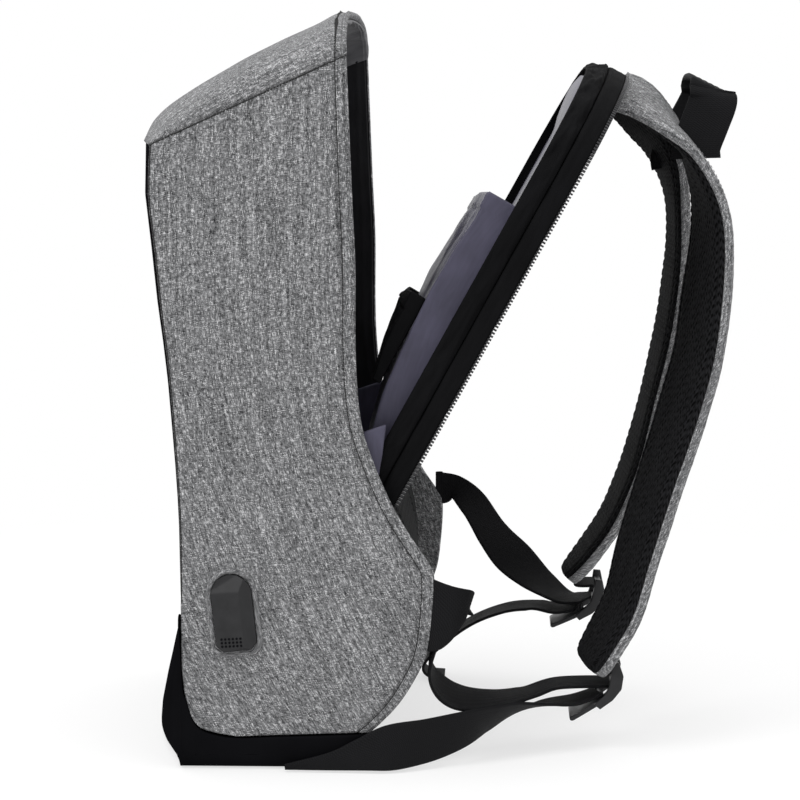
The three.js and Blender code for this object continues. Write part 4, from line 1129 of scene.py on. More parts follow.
@dataclass
class Roof:
    """The melange roof with its rear hem, and the lining under it."""

    wardrobe: Wardrobe
    rows: int = 120
    columns: int = 150
    run: float = 165 * MM

    def surface(self, cut: Cut) -> Array:
        """Return the grid of one face of the roof.

        Args:
            cut: How the face is cut.

        Returns:
            The grid of points.
        """
        last = len(ROOF_ROWS) - 1
        at = cut.first + (last - cut.first) * spaced(cut.rows)
        table = smooth_rows(ROOF_ROWS, at)[..., None]
        side_depth, middle_depth, middle_height = table[:, 0], table[:, 2], table[:, 3]
        front, rear = SIDE_ROWS[-1][:2], SIDE_ROWS[-1][2:]
        seam = np.clip((side_depth - front[0]) / (rear[0] - front[0]), 0, 1)
        side_height = BAG.height(front[1] + seam * (rear[1] - front[1])) + BAG.gap
        across = arch_shares(cut.columns)
        arch = (1 - np.abs(across) ** BAG.arch_power) ** (1 / BAG.arch_power)
        y = BAG.depth(side_depth) + (BAG.depth(middle_depth) - BAG.depth(side_depth)) * (1 - across**2)
        z = side_height + (BAG.height(middle_height) - side_height - cut.inward) * arch
        x = np.broadcast_to((BAG.half_width - cut.inward) * across, y.shape)
        grid = np.stack([x, y, z], -1)
        rear_run = (1 - at / last)[:, None] * self.run
        away = run_lengths(grid, 1)
        edge = np.minimum(away, away[:, -1:] - away)
        waves = 1.4 * MM * soft_noise(grid, 60 * MM, 4.2) + 0.4 * MM * soft_noise(grid, 22 * MM, 1.2)
        hem = 0.6 * MM * (1 - smoothstep(rear_run, 6 * MM, 8 * MM))
        hem = hem - 0.5 * MM * bell(rear_run, 8 * MM, 1.2 * MM)
        pucker = 0.35 * MM * gathers(grid[..., 1], edge, 9 * MM, 7 * MM, 4.0)
        height = waves * smoothstep(edge, 0, 20 * MM) + hem + pucker - 0.9 * MM * bell(edge, 0, 1.5 * MM)
        return grid + facing_up(grid_normals(grid)) * (cut.relief * height)[..., None]

    def stitch(self, outer: Array) -> None:
        """Lay a near-black cord along the rear hem's seam as painted shade in its groove, and sew the top
        stitching.
        """
        normal = facing_up(grid_normals(outer))
        run = run_lengths(outer, 0)
        away = (run[-1:] - run)[:, self.columns // 2]
        row = int(np.argmin(np.abs(away - BAG.hem)))
        # The cord paints the shade in the hem's groove.
        seam = [(outer[row] + SEAM_LIFT * normal[row], normal[row])]
        cord = SEAM_SHADE_CORD.along("roof_hem_seam_shade", even_lines(seam, 400), self.wardrobe.painted_seam_shade)
        place(cord, "melange_canvas")
        lines = []
        for row in (self.rows - 3, self.rows - 12):
            lines.append((outer[row, 5:-5], normal[row, 5:-5]))
        for column in (9, self.columns - 10):
            lines.append((outer[4:-2, column], normal[4:-2, column]))
        sewn = TOP_STITCH.along("roof_stitches", even_lines(lines, 300), self.wardrobe.grey_thread)
        place(sewn, "melange_canvas")

    def build(self) -> None:
        """Build the roof, its lining and its stitching."""
        outer = self.surface(Cut(0, 0, self.rows, self.columns, 1))
        inner = self.surface(Cut(BAG.wall, 0, self.rows, self.columns))
        uv = run_uv(outer)
        piece = slab("roof_cloth", outer, inner, uv, self.wardrobe.canvas, self.wardrobe.dark, 0.25)
        place(piece, "melange_canvas", "roof_panel")
        start = BAG.wall + BAG.lining_gap
        upper, lower = (self.surface(Cut(inward, 2, 70, 80)) for inward in (start, start + BAG.lining))
        folds = soft_noise(lower * np.array([1, 0.5, 1]), 16 * MM, 6.0)
        lower[..., 2] -= 4.5 * MM * np.maximum(0, folds)
        uv = run_uv(lower)
        # Painted light: the roof's dark lining takes the lighter grey copy, for the light that falls on it
        # through the opening.
        lining = slab("roof_lining_cloth", upper, lower, uv, self.wardrobe.grey)
        place(lining, "dark_lining", "roof_lining")
        declare_sheet(lower)
        self.stitch(outer)


@dataclass
class Front:
    """The black front panel and its lining."""

    wardrobe: Wardrobe

    def surface(self, inward: float, half_width: float, rows: int, columns: int) -> Array:
        """Return the grid of one face of the front.

        Args:
            inward: Depth below the outer face.
            half_width: Half of its width.
            rows: Rows of the grid.
            columns: Columns of the grid.

        Returns:
            The grid of points.
        """
        x = half_width * arch_shares(columns)
        arch = (1 - np.minimum(1, np.abs(x) / (BAG.half_width - BAG.wall)) ** 3) ** (1 / 3)
        side_top = BAG.height(SIDE_ROWS[-1][1])
        top = side_top + (BAG.height(ROOF_ROWS[0][3]) - BAG.wall - BAG.gap - side_top) * arch
        foot = BAG.riser + BAG.gap
        z = foot + (top - foot)[None] * np.linspace(0, 1, rows)[:, None]
        x = np.broadcast_to(x, z.shape)
        y = front_edge_at(np.minimum(z, side_top)) - front_crown(z) * crown_share(x) + inward
        grid = np.stack([x, y, z], -1)
        grid[..., 1] -= 0.8 * MM * soft_noise(grid, 80 * MM, 2.0) * crown_share(x)
        return grid

    def build(self) -> None:
        """Build the panel and its lining."""
        half = BAG.half_width - BAG.wall - BAG.gap
        outer, inner = (self.surface(inward, half, 110, 110) for inward in (0, BAG.wall))
        uv = run_uv(outer)
        piece = slab("front_cloth", outer, inner, uv, self.wardrobe.shell, self.wardrobe.dark, 0.25)
        place(piece, "coated_shell", "front_panel")
        start = BAG.wall + BAG.lining_gap
        half -= BAG.lining_gap + 2 * BAG.lining
        outer, inner = (self.surface(inward, half, 60, 60) for inward in (start, start + BAG.lining))
        inner[..., 1] += 1.5 * MM * np.maximum(0, soft_noise(inner, 28 * MM, 5.0))
        uv = run_uv(outer)
        lining = slab("front_lining_cloth", outer, inner, uv, self.wardrobe.dark)
        place(lining, "dark_lining", "front_lining")
        declare_sheet(inner)


@dataclass
class Boot:
    """The glossy black tray that the bag stands on."""

    wardrobe: Wardrobe
    crown: float = 29 * MM
    floor: float = 10 * MM
    edge: float = 8 * MM
    undercut: float = 12 * MM
    steps: int = 8
    pull: float = 0.45

    def ring(self, level: float, inset: float, height: float | None = None, least: float = 0.0) -> Array:
        """Return one closed ring of the tray's wall.

        Args:
            level: 0 at the floor, 1 at the rim.
            inset: How far the ring is drawn in.
            height: Its height, or None to follow the rim.
            least: The lowest height that it may have.

        Returns:
            The ring's points.
        """
        rows = np.array(BOOT_RIM)
        width, depth, rim, crowned = rows.T
        x = width * BAG.half_width
        bulge = self.crown + (BAG.low_crown - self.crown) * level**1.2
        rear = smoothstep(depth, 0.6, 0.76) * self.undercut * (1 - level)
        y = BAG.depth(depth) - crowned * bulge * crown_share(x) - rear
        z = level * (rim * BAG.riser - np.where(crowned > 0, 0, BAG.gap))
        on_side = width == 1
        x = np.where(on_side, x - inset, x * (1 - inset / BAG.half_width))
        y = np.where(on_side, y, y + np.where(crowned > 0, inset, -inset))
        z = np.maximum(z, least) if height is None else np.full_like(z, height)
        half = np.stack([x, y, z], -1)
        mirrored = half[1:-1][::-1] * np.array([-1, 1, 1])
        closed = np.concatenate([half, mirrored])
        at = np.arange(len(closed) * self.steps) / self.steps
        index = np.floor(at).astype(int)
        four = [closed[(index + k) % len(closed)] for k in (-1, 0, 1, 2)]
        return hermite(four, (at - index)[:, None], self.pull)

    def build(self) -> None:
        """Build the tray."""
        wall = BAG.wall + BAG.gap
        rings = []
        for angle in np.linspace(0, pi / 2, 7):
            inset = self.edge * (1 - sin(angle))
            lift = self.edge * (1 - cos(angle))
            rings.append(self.ring(0.12 * angle / (pi / 2), inset, lift))
        for level in np.linspace(0.18, 0.97, 16):
            rings.append(self.ring(level, 0, None, self.edge + 0.6 * MM + 1 * MM * level))
        for share, inset in ((0.99, 0.3), (1.0, 1.2), (1.0, 2.4), (0.99, 3.6)):
            rings.append(self.ring(share, inset * MM, None, self.floor + 1.5 * MM))
        for level in np.linspace(0.95, 0.3, 8):
            rings.append(self.ring(level, wall, None, self.floor + 1 * MM))
        rings.append(self.ring(0, 2 * wall, self.floor))
        body = np.array(rings)
        folds = 0.8 * MM * soft_noise(body, 55 * MM, 7.0) + 0.25 * MM * soft_noise(body, 18 * MM, 2.0)
        stand = smoothstep(body[..., 2], 0.006, 0.02)
        away = unit(body * np.array([1, 1, 0]))
        body = body + away * (folds * stand)[..., None]
        piece = loft("boot_tray", body, self.wardrobe.shell)
        place(piece, "coated_shell", "base_boot")


@dataclass
class LowerBack:
    """The padded mesh panel below the opening."""

    wardrobe: Wardrobe
    thickness: float = 10 * MM
    crown: float = 5 * MM

    def build(self) -> None:
        """Build the panel."""
        half = BAG.half_width - BAG.wall - BAG.lining_gap - BAG.lining - BAG.gap
        table = smooth_rows(LOWER_BACK_ROWS, (len(LOWER_BACK_ROWS) - 1) * spaced(90, 0.6))
        up = ((table[:, 0] - table[0, 0]) / (table[-1, 0] - table[0, 0]))[:, None]
        across = 2 * spaced(150, 0.6) - 1
        crown = self.crown * (1 - across**4) * np.sin(pi * (0.1 + 0.8 * up))
        y = BAG.depth(table[:, 1])[:, None] + crown
        z = np.broadcast_to(BAG.height(table[:, 0])[:, None], y.shape)
        x = np.broadcast_to(half * across, y.shape)
        outer = np.stack([x, y, z], -1)
        channel = -1.8 * MM * (bell(np.abs(x), 62 * MM, 3 * MM) + bell(z, 0.095, 3 * MM))
        ridge = 0.35 * MM * np.sin(z * 2 * pi / (4 * MM))
        outer[..., 1] += channel + ridge - 0.6 * MM
        inner = np.stack([x, y - self.thickness, z], -1)
        uv = run_uv(outer)
        piece = slab("lower_back_mesh", outer, inner, uv, self.wardrobe.mesh, self.wardrobe.dark, 0.3)
        place(piece, "air_mesh", "lower_back_panel")


@dataclass(frozen=True)
class PanelFrame:
    """The rear panel's own frame: across, up from its hinge, and in from its zip."""

    hinge_y: float = 67 * MM
    hinge_z: float = 150.4 * MM
    lean: float = radians(28.9)
    length: float = 304 * MM
    half_width: float = 130 * MM
    arch: float = 85 * MM
    power: float = 2.4
    zip_depth: float = 12 * MM
    gusset_depth: float = 12.4 * MM
    core_face: float = 1.5 * MM
    core_thickness: float = 16 * MM

    def point(self, x: Array, s: Array, t: Array) -> Array:
        """Return points from their places in the panel's frame.

        Args:
            x: Across.
            s: Up along the panel.
            t: In from the zip.

        Returns:
            The points.
        """
        x, s, t = np.broadcast_arrays(x, s, t)
        y = self.hinge_y + s * sin(self.lean) - t * cos(self.lean)
        z = self.hinge_z + s * cos(self.lean) + t * sin(self.lean)
        return np.stack([x, y, z], -1)

    def half_at(self, s: Array, inset: float) -> Array:
        """Return half the panel's width at a place up along it."""
        up = np.clip((s - self.length + self.arch) / (self.arch - inset), 0, 1)
        return (self.half_width - inset) * (1 - up**self.power) ** (1 / self.power)

    def stations(self, side_steps: int = 40, arch_steps: int = 150) -> tuple[Array, Array, Array]:
        """Return the outline's stations as base height, across share and up share."""
        shoulder = self.length - self.arch
        angle = np.linspace(0, pi, arch_steps)
        power = 2 / self.power
        across = np.sign(np.cos(angle)) * np.abs(np.cos(angle)) ** power
        up = np.abs(np.sin(angle)) ** power
        rise = shoulder * np.arange(side_steps) / side_steps
        base = np.concatenate([rise, np.full(arch_steps, shoulder), rise[::-1]])
        ones, zeros = np.ones(side_steps), np.zeros(side_steps)
        return base, np.concatenate([ones, across, -ones]), np.concatenate([zeros, up, zeros])

    def outline(self, inset: Array) -> tuple[Array, Array]:
        """Return the outline's places across and up, drawn in by inset.

        Args:
            inset: One value, or one for each station.

        Returns:
            Places across, and places up.
        """
        base, across, up = self.stations()
        if np.ndim(inset) == 2:
            base, across, up = base[:, None], across[:, None], up[:, None]
        return (self.half_width - inset) * across, base + (self.arch - inset) * up

    @property
    def lining_face(self) -> float:
        """Return how far in the lining's outer face lies."""
        return self.core_face + self.core_thickness + BAG.lining_gap


PANEL = PanelFrame()
PANEL_LINING_ROWS = [
    [0.02, 0], [0.4, 0], [0.66, 0], [0.8, 0.02], [0.86, 0.33], [0.92, 0.5], [0.955, 0.35],
]
LARGE_POCKET_ROWS = [[0, 0.15], [0.12, 0.5], [0.3, 0.82], [0.6, 1], [0.85, 0.98], [1, 0.96]]
LOWER_POCKET_ROWS = [[0, 0.5], [0.4, 0.9], [0.8, 1], [1, 0.95]]
# Inset from the panel's edge and depth from the zip, in millimetres.
ZIP_SECTION = [
    [1.2, 0], [0.1, 1.2], [0, 3], [0.2, 6], [0, 9.6], [0.3, 11], [1.2, 12], [3, 12], [3, 0],
]
GUSSET_SECTION = [
    [2.4, 12.3], [1.2, 12.9], [-0.3, 15], [-0.5, 18.5], [-0.4, 21], [0.3, 24], [1.2, 24.7], [3, 24.7],
    [3, 12.3],
]
STAY_FRONT = [[0.56, 0.310], [0.56, 0.425]]
STAY_REAR = [[0.70, 0.310], [0.775, 0.345], [0.797, 0.380], [0.815, 0.420], [0.828, 0.457]]


@dataclass(frozen=True)
class Pocket:
    """An open-topped pocket with a hemmed, slumped mouth, sewn to the rear panel."""

    name: str
    node: str
    slot: str
    cloth: Material
    rows: Rows
    half: float
    foot: float
    head: float
    base: float
    depth: float
    bow_share: float = 0.12
    wall: float = 1.5 * MM
    least: float = 3 * MM
    pucker: float = 2.4 * MM
    middle_slump: float = 3 * MM
    end_slump: float = 17 * MM

    def build(self) -> None:
        """Build the pocket."""
        table = np.array(self.rows)
        along = spaced(80, 0.5)
        out = smooth_rows(table[:, 1:], np.interp(along, table[:, 0], np.arange(len(table))))
        reach = np.maximum(self.least, self.depth * out)
        bow = self.bow_share * self.depth
        line = np.array([[-1, 0, 0], [-1, 1, 0], [-0.5, 1, 1], [0.5, 1, 1], [1, 1, 0], [1, 0, 0]])
        size = np.array([self.half, self.depth, bow])
        share_x, share_t, share_bow = (resample(line * size, 140) / size).T
        s = (self.foot + (self.head - self.foot) * along)[:, None]
        t = self.base + reach * share_t + bow * share_bow
        x, s = np.broadcast_to(self.half * share_x, t.shape), np.broadcast_to(s, t.shape)
        spot = np.stack([x, s, t], -1)
        rear = smoothstep(share_t, 0.15, 1)
        folds = soft_noise(spot * np.array([1.4, 0.4, 1.4]), 34 * MM, 5.0 + self.half)
        folds = folds + 0.35 * soft_noise(spot, 13 * MM, 2.0)
        mouth = smoothstep(along, 0.2, 1)[:, None]
        push = self.pucker * folds * rear * (0.35 + 0.65 * mouth)
        push = push * smoothstep(1.02 - along, 0, 0.1)[:, None]
        below = self.head - s
        hem = 0.5 * MM * (1 - smoothstep(below, 9 * MM, 10.5 * MM))
        hem = hem - 0.7 * MM * bell(below, 11 * MM, 1 * MM)
        slump = self.middle_slump * (1 - share_x**2) + self.end_slump * ((1 - share_x) / 2) ** 1.4
        s = s - slump * mouth**3
        outer = PANEL.point(x, s, t + (push + hem) * rear)
        side_in = np.sign(share_x) * self.wall * smoothstep(np.abs(share_x), 0.97, 0.999)
        inner_t = np.where(share_t > 0.02, t + push * rear - self.wall, t)
        inner = PANEL.point(x - side_in, s, np.maximum(inner_t, self.base))
        piece = slab(self.name, outer, inner, run_uv(outer), self.cloth)
        place(piece, self.slot, self.node)
        declare_sheet(outer)


@dataclass
class RearPanel:
    """The zipped rear panel, standing open, with all that is sewn to it."""

    wardrobe: Wardrobe
    pad_proud: float = 2.8 * MM
    pad_inset: float = 8 * MM
    stay_inset: float = 12.9 * MM

    def band(self, name: str, section: Rows, wrinkle: float, node: str) -> None:
        """Build a band of cloth round the panel.

        Args:
            name: Its name.
            section: Inset and depth of each corner of its section, in millimetres.
            wrinkle: Height of its creases.
            node: The CAD node that it replaces.
        """
        count = 36
        inset_t = ring_of(np.array(section) * MM, count)
        base, _, up = PANEL.stations()
        inset = np.broadcast_to(inset_t[:, 0], (len(base), count)).copy()
        t = np.broadcast_to(inset_t[:, 1], (len(base), count)).copy()
        draw = np.clip((t - PANEL.zip_depth) / PANEL.gusset_depth, 0, 1) * up[:, None]
        inset += 6 * MM * draw
        x, s = PANEL.outline(inset)
        flat = np.stack([x, s, t * 2.5], -1)
        outer = smoothstep(2.4 * MM - inset_t[:, 0], 0, 1 * MM)
        inset -= wrinkle * outer * (soft_noise(flat, 14 * MM, 3.0) + 0.5 * soft_noise(flat, 6 * MM, 9.0))
        x, s = PANEL.outline(inset)
        place(loft(name, PANEL.point(x, s, t), self.wardrobe.tape), "zip_tape", node)

    def zip_teeth(self) -> None:
        """Set the zip's teeth along the edge of its tape."""
        x, s = PANEL.outline(1.0 * MM)
        edge = PANEL.point(x, s, -0.7 * MM)
        down = PANEL.point(0.0, 0.0, -1.0) - PANEL.point(0.0, 0.0, 0.0)
        ups = np.broadcast_to(unit(down), edge.shape)
        keep = s > 6 * MM
        repeat = PathRepeat(Mark.TOOTH, 2.2 * MM, (1.15 * MM, 2.4 * MM, 2.3 * MM))
        teeth = repeat.along("zip_teeth", [(edge[keep], ups[keep])], self.wardrobe.teeth)
        place(teeth, "zip_tape")

    def core(self) -> None:
        """Build the covered board."""
        x, s = PANEL.outline(3.3 * MM)
        s = np.maximum(s, BAG.gap)
        rings = []
        middle = PANEL.length / 2
        for shrink, t in ((0.94, 0.25), (0.985, 0.1), (1.0, 0.8), (1.0, 15.2), (0.99, 16.0)):
            rings.append(PANEL.point(x * shrink, middle + (s - middle) * shrink, PANEL.core_face + t * MM))
        piece = loft("panel_board", np.array(rings), self.wardrobe.tape)
        place(piece, "panel_board", "panel_core")

    def lining(self) -> None:
        """Build the lining, which rises over the gusset near the top."""
        table = smooth_rows(PANEL_LINING_ROWS, (len(PANEL_LINING_ROWS) - 1) * np.linspace(0, 1, 110))
        s = table[:, :1] * PANEL.length
        across = 2 * spaced(100, 0.6) - 1
        rise = table[:, 1:] * PANEL.gusset_depth * (1 - across**6)
        x = across * PANEL.half_at(s, 4.5 * MM)
        low = PANEL.point(x, s, PANEL.lining_face + rise)
        folds = 1.2 * MM * np.maximum(0, soft_noise(low, 40 * MM, 4.0)) * smoothstep(s, 0.2, 0.24)
        high = PANEL.point(x, s, PANEL.lining_face + rise + BAG.lining + folds)
        uv = np.stack([x, np.broadcast_to(s, x.shape)], -1)
        piece = slab("panel_lining_cloth", high, low, uv, self.wardrobe.lavender)
        place(piece, "lavender_lining", "panel_lining")
        declare_sheet(high)

    def back_pad(self) -> None:
        """Build the padded mesh on the wearer's face, sewn into two columns."""
        v = spaced(150, 0.6)[:, None]
        across = 2 * spaced(150, 0.6)[None] - 1
        s = PANEL.length * (0.03 + 0.83 * v)
        x = across * PANEL.half_at(s, self.pad_inset)
        dome = (1 - across**6) * (1 - (2 * v - 1) ** 6)
        channel = bell(x, 0, 5 * MM) + bell(np.abs(x), 62 * MM, 2 * MM) * (v < 0.9)
        cross = sum(bell(s, h * MM, 2.5 * MM) for h in (70, 130, 190))
        press = np.clip(channel + cross, 0, 1) * dome
        outer = PANEL.point(x, s, -self.pad_proud * dome + 2.2 * MM * press)
        inner = PANEL.point(x, s, PANEL.core_face - BAG.gap)
        uv = np.stack([x, np.broadcast_to(s, x.shape)], -1)
        piece = slab("back_pad_mesh", outer, inner, uv, self.wardrobe.mesh, self.wardrobe.tape, 0.3)
        place(piece, "air_mesh", "back_pad")

    def pockets(self) -> None:
        """Build the two pockets on the panel's inner face."""
        base = PANEL.lining_face + BAG.lining + BAG.gap
        large = Pocket(
            "large_pocket_cloth", "large_pocket", "lavender_lining",
            self.wardrobe.lavender, LARGE_POCKET_ROWS,
            half=115 * MM, foot=10 * MM, head=201 * MM, base=base, depth=24 * MM,
        )
        large.build()
        Pocket(
            "lower_pocket_cloth", "lower_pocket", "zip_tape", self.wardrobe.tape, LOWER_POCKET_ROWS,
            half=111 * MM, foot=69 * MM, head=126 * MM,
            base=base + 1.02 * large.depth + BAG.gap, depth=10 * MM,
        ).build()

    def stay(self, side: Side) -> None:
        """Build the cloth that holds the open panel to the body."""
        low, high = (resample(np.array(rows), 60) for rows in (STAY_FRONT, STAY_REAR))
        v = np.linspace(0, 1, 60)[:, None]
        u = np.linspace(0, 1, 50)
        spot = low[:, None] + (high - low)[:, None] * u[None, :, None]
        y, z = BAG.depth(spot[..., 0]), BAG.height(spot[..., 1])
        middle = np.sin(pi * u)[None] * (0.3 + 0.7 * v)
        drape = 4.0 * MM * middle * (0.6 + 0.4 * np.sin(7 * u[None] + 2 * v))
        x = BAG.half_width - self.stay_inset + drape
        inner = np.stack([side.value * x, y, z], -1)
        outer = np.stack([side.value * (x + BAG.lining), y, z], -1)
        uv = np.stack([y, z], -1)
        label = side.label
        piece = slab(f"stay_cloth_{label}", outer, inner, uv, self.wardrobe.lavender)
        place(piece, "lavender_lining", f"stay_gusset_{label}")
        declare_sheet(outer)

    def build(self) -> None:
        """Build the whole panel."""
        self.band("zip_band_cloth", ZIP_SECTION, 0.35 * MM, "zip_band")
        self.band("gusset_band_cloth", GUSSET_SECTION, 2 * MM, "gusset_band")
        self.zip_teeth()
        self.core()
        self.lining()
        self.back_pad()
        self.pockets()
        for side in Side:
            self.stay(side)


STRAP_ROWS = {
    Side.RIGHT: [
        [0, 0, 0, -17], [0.155, 0.008, 0.02, -17], [0.33, 0.026, 0.05, -15], [0.53, 0.057, 0.09, -9],
        [0.76, 0.102, 0.14, 0], [0.93, 0.162, 0.2, 7], [1, 0.218, 0.24, 12], [1, 0.276, 0.31, 15],
        [0.94, 0.359, 0.44, 18], [0.86, 0.451, 0.55, 18], [0.71, 0.54, 0.66, 18], [0.58, 0.608, 0.74, 17],
        [0.46, 0.667, 0.81, 16], [0.22, 0.794, 0.92, 15], [0.07, 0.884, 0.97, 13], [-0.15, 0.953, 1, 11],
        [-0.29, 0.992, 1, 12],
    ],
    Side.LEFT: [
        [0, 0, 0, -19], [0.19, 0.026, 0.02, -19], [0.36, 0.06, 0.04, -17], [0.535, 0.098, 0.07, -13],
        [0.68, 0.151, 0.12, -8], [0.75, 0.209, 0.19, -4], [0.767, 0.282, 0.29, -4], [0.74, 0.348, 0.38, -5],
        [0.69, 0.418, 0.47, -5], [0.62, 0.484, 0.56, -5], [0.5, 0.576, 0.68, -4], [0.37, 0.665, 0.79, -5],
        [0.25, 0.729, 0.87, -5], [0.05, 0.807, 0.94, -4], [-0.19, 0.868, 1, -3], [-0.445, 0.92, 1, -2],
    ],
}


@dataclass
class Strap:
    """One padded shoulder strap: mesh beneath, melange cover above."""

    side: Side
    wardrobe: Wardrobe
    width: float = 66 * MM
    pad: float = 8 * MM
    cover: float = 2.4 * MM
    wrap: float = 5 * MM
    reach: float = 58 * MM
    drop: float = 360 * MM
    spread: float = 46 * MM
    root_share: float = 0.97
    edge: float = 1.5 * MM
    end_rows: float = 1.3
    end_share: float = 0.5
    cell: float = 5.2 * MM
    cell_rise: float = 6.4 * MM
    count: int = 320

    def station(self, at: Array) -> tuple[Array, Array, Array]:
        """Return places along the strap.

        Args:
            at: Positions along the table's rows.

        Returns:
            The middle of the outer face, the way across, and the way out.
        """
        sign = self.side.value
        rows = STRAP_ROWS[self.side]
        root = PANEL.point(0.0, self.root_share * PANEL.length, -0.6 * MM)
        root_x = self.width / 2 + self.edge + 0.3 * MM

        def centre(position: Array) -> Array:
            """Return the middle of the outer face."""
            reach, drop, spread, _ = smooth_rows(rows, position).T
            x = sign * (root_x + spread * self.spread)
            return np.stack([x, root[1] + reach * self.reach, root[2] - drop * self.drop], -1)

        roll = np.radians(smooth_rows(rows, at)[:, 3])[:, None]
        tangent = (centre(at + 0.1) - centre(at - 0.1)) * np.array([0, 1, 1])
        tangent = unit(tangent)
        normal = np.stack([np.zeros(len(at)), -tangent[:, 2], tangent[:, 1]], -1)
        start = np.array([0, sin(PANEL.lean), cos(PANEL.lean)])
        blend = smoothstep(at, 0, 1)[:, None]
        normal = unit(start * (1 - blend) + normal * blend)
        sideways = np.array([sign, 0, 0])
        across = sideways * np.cos(roll) + normal * np.sin(roll)
        out = unit(normal * np.cos(roll) - sideways * np.sin(roll))
        return centre(at), across, out

    def body(self, section: Array, at: Array, push: Array | None = None) -> Array:
        """Sweep a closed section along the strap.

        Args:
            section: Places across and out of each corner.
            at: Positions along the strap.
            push: Extra height for each ring and corner, along the way out.

        Returns:
            The rings.
        """
        centre, across, out = self.station(at)
        left = np.clip((len(STRAP_ROWS[self.side]) - 1 - at) / self.end_rows, 0, 1)
        taper = self.end_share + (1 - self.end_share) * np.sqrt(1 - (1 - left) ** 2)
        width = section[:, 0] * taper[:, None]
        height = section[:, 1] + (0 if push is None else push)
        return centre[:, None] + across[:, None] * width[..., None] + out[:, None] * height[..., None]

    def build(self) -> None:
        """Build the pad, the cover and the stitching."""
        label = self.side.label
        last = len(STRAP_ROWS[self.side]) - 1
        at = last * np.linspace(0, 1, self.count)
        half = self.width / 2
        section = mirrored_ring([
            [half, -0.3 * MM], [half + 0.2 * MM, -0.3 * self.pad], [half - 0.6 * MM, -0.65 * self.pad],
            [0.86 * half, -0.93 * self.pad], [0.6 * half, -self.pad], [0, -1.03 * self.pad],
        ], 1, 96)
        rings = self.body(section, at)
        run = run_lengths(rings, 0)[:, :1]
        lower = smoothstep(-section[:, 1], 0.5 * self.pad, 0.8 * self.pad)
        across = section[:, 0]
        cell_u = np.cos(across * 2 * pi / self.cell)
        cell_v = np.cos(run * 2 * pi / self.cell_rise)
        dimple = 0.5 * MM * np.maximum(0, cell_u * cell_v) * lower
        seam = 1.6 * MM * bell(np.abs(across), half - 7 * MM, 1.2 * MM) * lower
        rings = self.body(section, at, dimple + seam)
        pad = loft(f"strap_pad_{label}_mesh", rings, self.wardrobe.mesh)
        place(pad, "air_mesh", f"strap_pad_{label}")
        inner, outer = half + 0.3 * MM, half + self.edge
        section = mirrored_ring([
            [inner, 0], [inner, -self.wrap], [outer - 0.2 * MM, -self.wrap - 0.4 * MM],
            [outer + 0.3 * MM, -0.5 * self.wrap], [outer, 0], [outer - 1.5 * MM, 0.5 * self.cover],
            [0.8 * half, 0.9 * self.cover], [0.4 * half, self.cover],
        ], 2, 120)
        rings = self.body(section, at)
        upper = smoothstep(section[:, 1], 0.2 * self.cover, 0.6 * self.cover)
        waves = 0.8 * MM * soft_noise(rings, 30 * MM, 2.0 + self.side.value)
        seam = -0.8 * MM * bell(np.abs(section[:, 0]), half - 6 * MM, 1.0 * MM)
        away = np.abs(np.abs(section[:, 0]) - half + 6 * MM)
        pucker = 0.25 * MM * gathers(run, away, 8 * MM, 5 * MM, 3.0)
        rings = self.body(section, at, (waves + seam + pucker) * upper)
        cover = loft(f"strap_cover_{label}_cloth", rings, self.wardrobe.canvas)
        place(cover, "melange_canvas", f"strap_cover_{label}")
        lines = []
        for sign in (-1, 1):
            for place_at, up in ((half - 5 * MM, 0.75 * self.cover), (outer + 0.35 * MM, -3.6 * MM)):
                ring = self.body(np.array([[sign * place_at, up]]), at)[:, 0]
                _, across_way, out = self.station(at)
                ups = out if up > 0 else sign * across_way
                lines.append((ring[4:-4], ups[4:-4]))
        repeat = PathRepeat(Mark.STITCH, 3.2 * MM, (2.2 * MM, 0.45 * MM, 0.42 * MM))
        sewn = repeat.along(f"strap_stitches_{label}", lines, self.wardrobe.grey_thread)
        place(sewn, "melange_canvas")


LOCK_PLACES = {Side.RIGHT: (201, 28, 0), Side.LEFT: (193, 51, -8)}
LOCK_RAIL_PROFILE = [
    [-0.12, 0], [0.14, 0.19], [0.32, 0.42], [0.36, 0.7], [0.26, 0.98],
    [0.1, 0.97], [0.1, 0.72], [0.06, 0.46], [-0.06, 0.26], [-0.24, 0.1],
]
# The lever's place along and across it, in millimetres.
LEVER_PROFILE = [
    [0, -1.5], [8, -1.3], [16, -1], [20, -1.5], [22.4, -1.6], [23, -0.6], [23, 0.6], [22, 1.4], [12, 1.5],
    [0, 1.5],
]
LOCK_BARS = [[0.20, 0.80], [0.17, 0.44], [-0.08, 0.14]]
WING_EDGE = 95
WEBBING_ROUTES = {
    Side.RIGHT: [
        [142, 0.9, 96, 0, -0.05, 1, 1.5], [140, 12, 98, 0.1, 0, 0.98, 1.05],
        [132, 21, 100, 0.3, 0.05, 0.95, 0.6], [126, 21, 98, 0.3, 0.4, 0.8, 0.45],
        [124, 13, 93, 0.9, 0, 0.2, 0.75], [124, 6, 85, 1, 0, 0, 1], [125, 1, 72, 1, 0, -0.04, 1],
        [125, -2, 61, 0.98, 0, -0.16, 1], [124, 1, 51, 0.95, 0, -0.3, 1], [121, 9, 43, 0.94, 0, -0.34, 1],
        [114, 22, 38, 0.97, 0, -0.22, 1], [105, 40, 36.5, 1, 0, -0.08, 1], [94, 58, 37.5, 1, 0, 0, 1],
        [84, 78, 41, 1, 0, 0, 1],
    ],
    Side.LEFT: [
        [142, 0.9, 129, 0, -0.1, 1, 0.75], [141, 11, 129, 0.25, -0.05, 0.95, 0.55],
        [136, 23, 118, 0.6, 0.3, 0.7, 0.75], [129, 36, 99, 0.7, 0.36, 0.6, 0.9],
        [120, 50, 84, 0.68, 0.32, 0.62, 1], [106, 67, 70, 0.88, 0.2, 0.36, 1], [90, 84, 62, 1, 0, 0.08, 1],
    ],
}
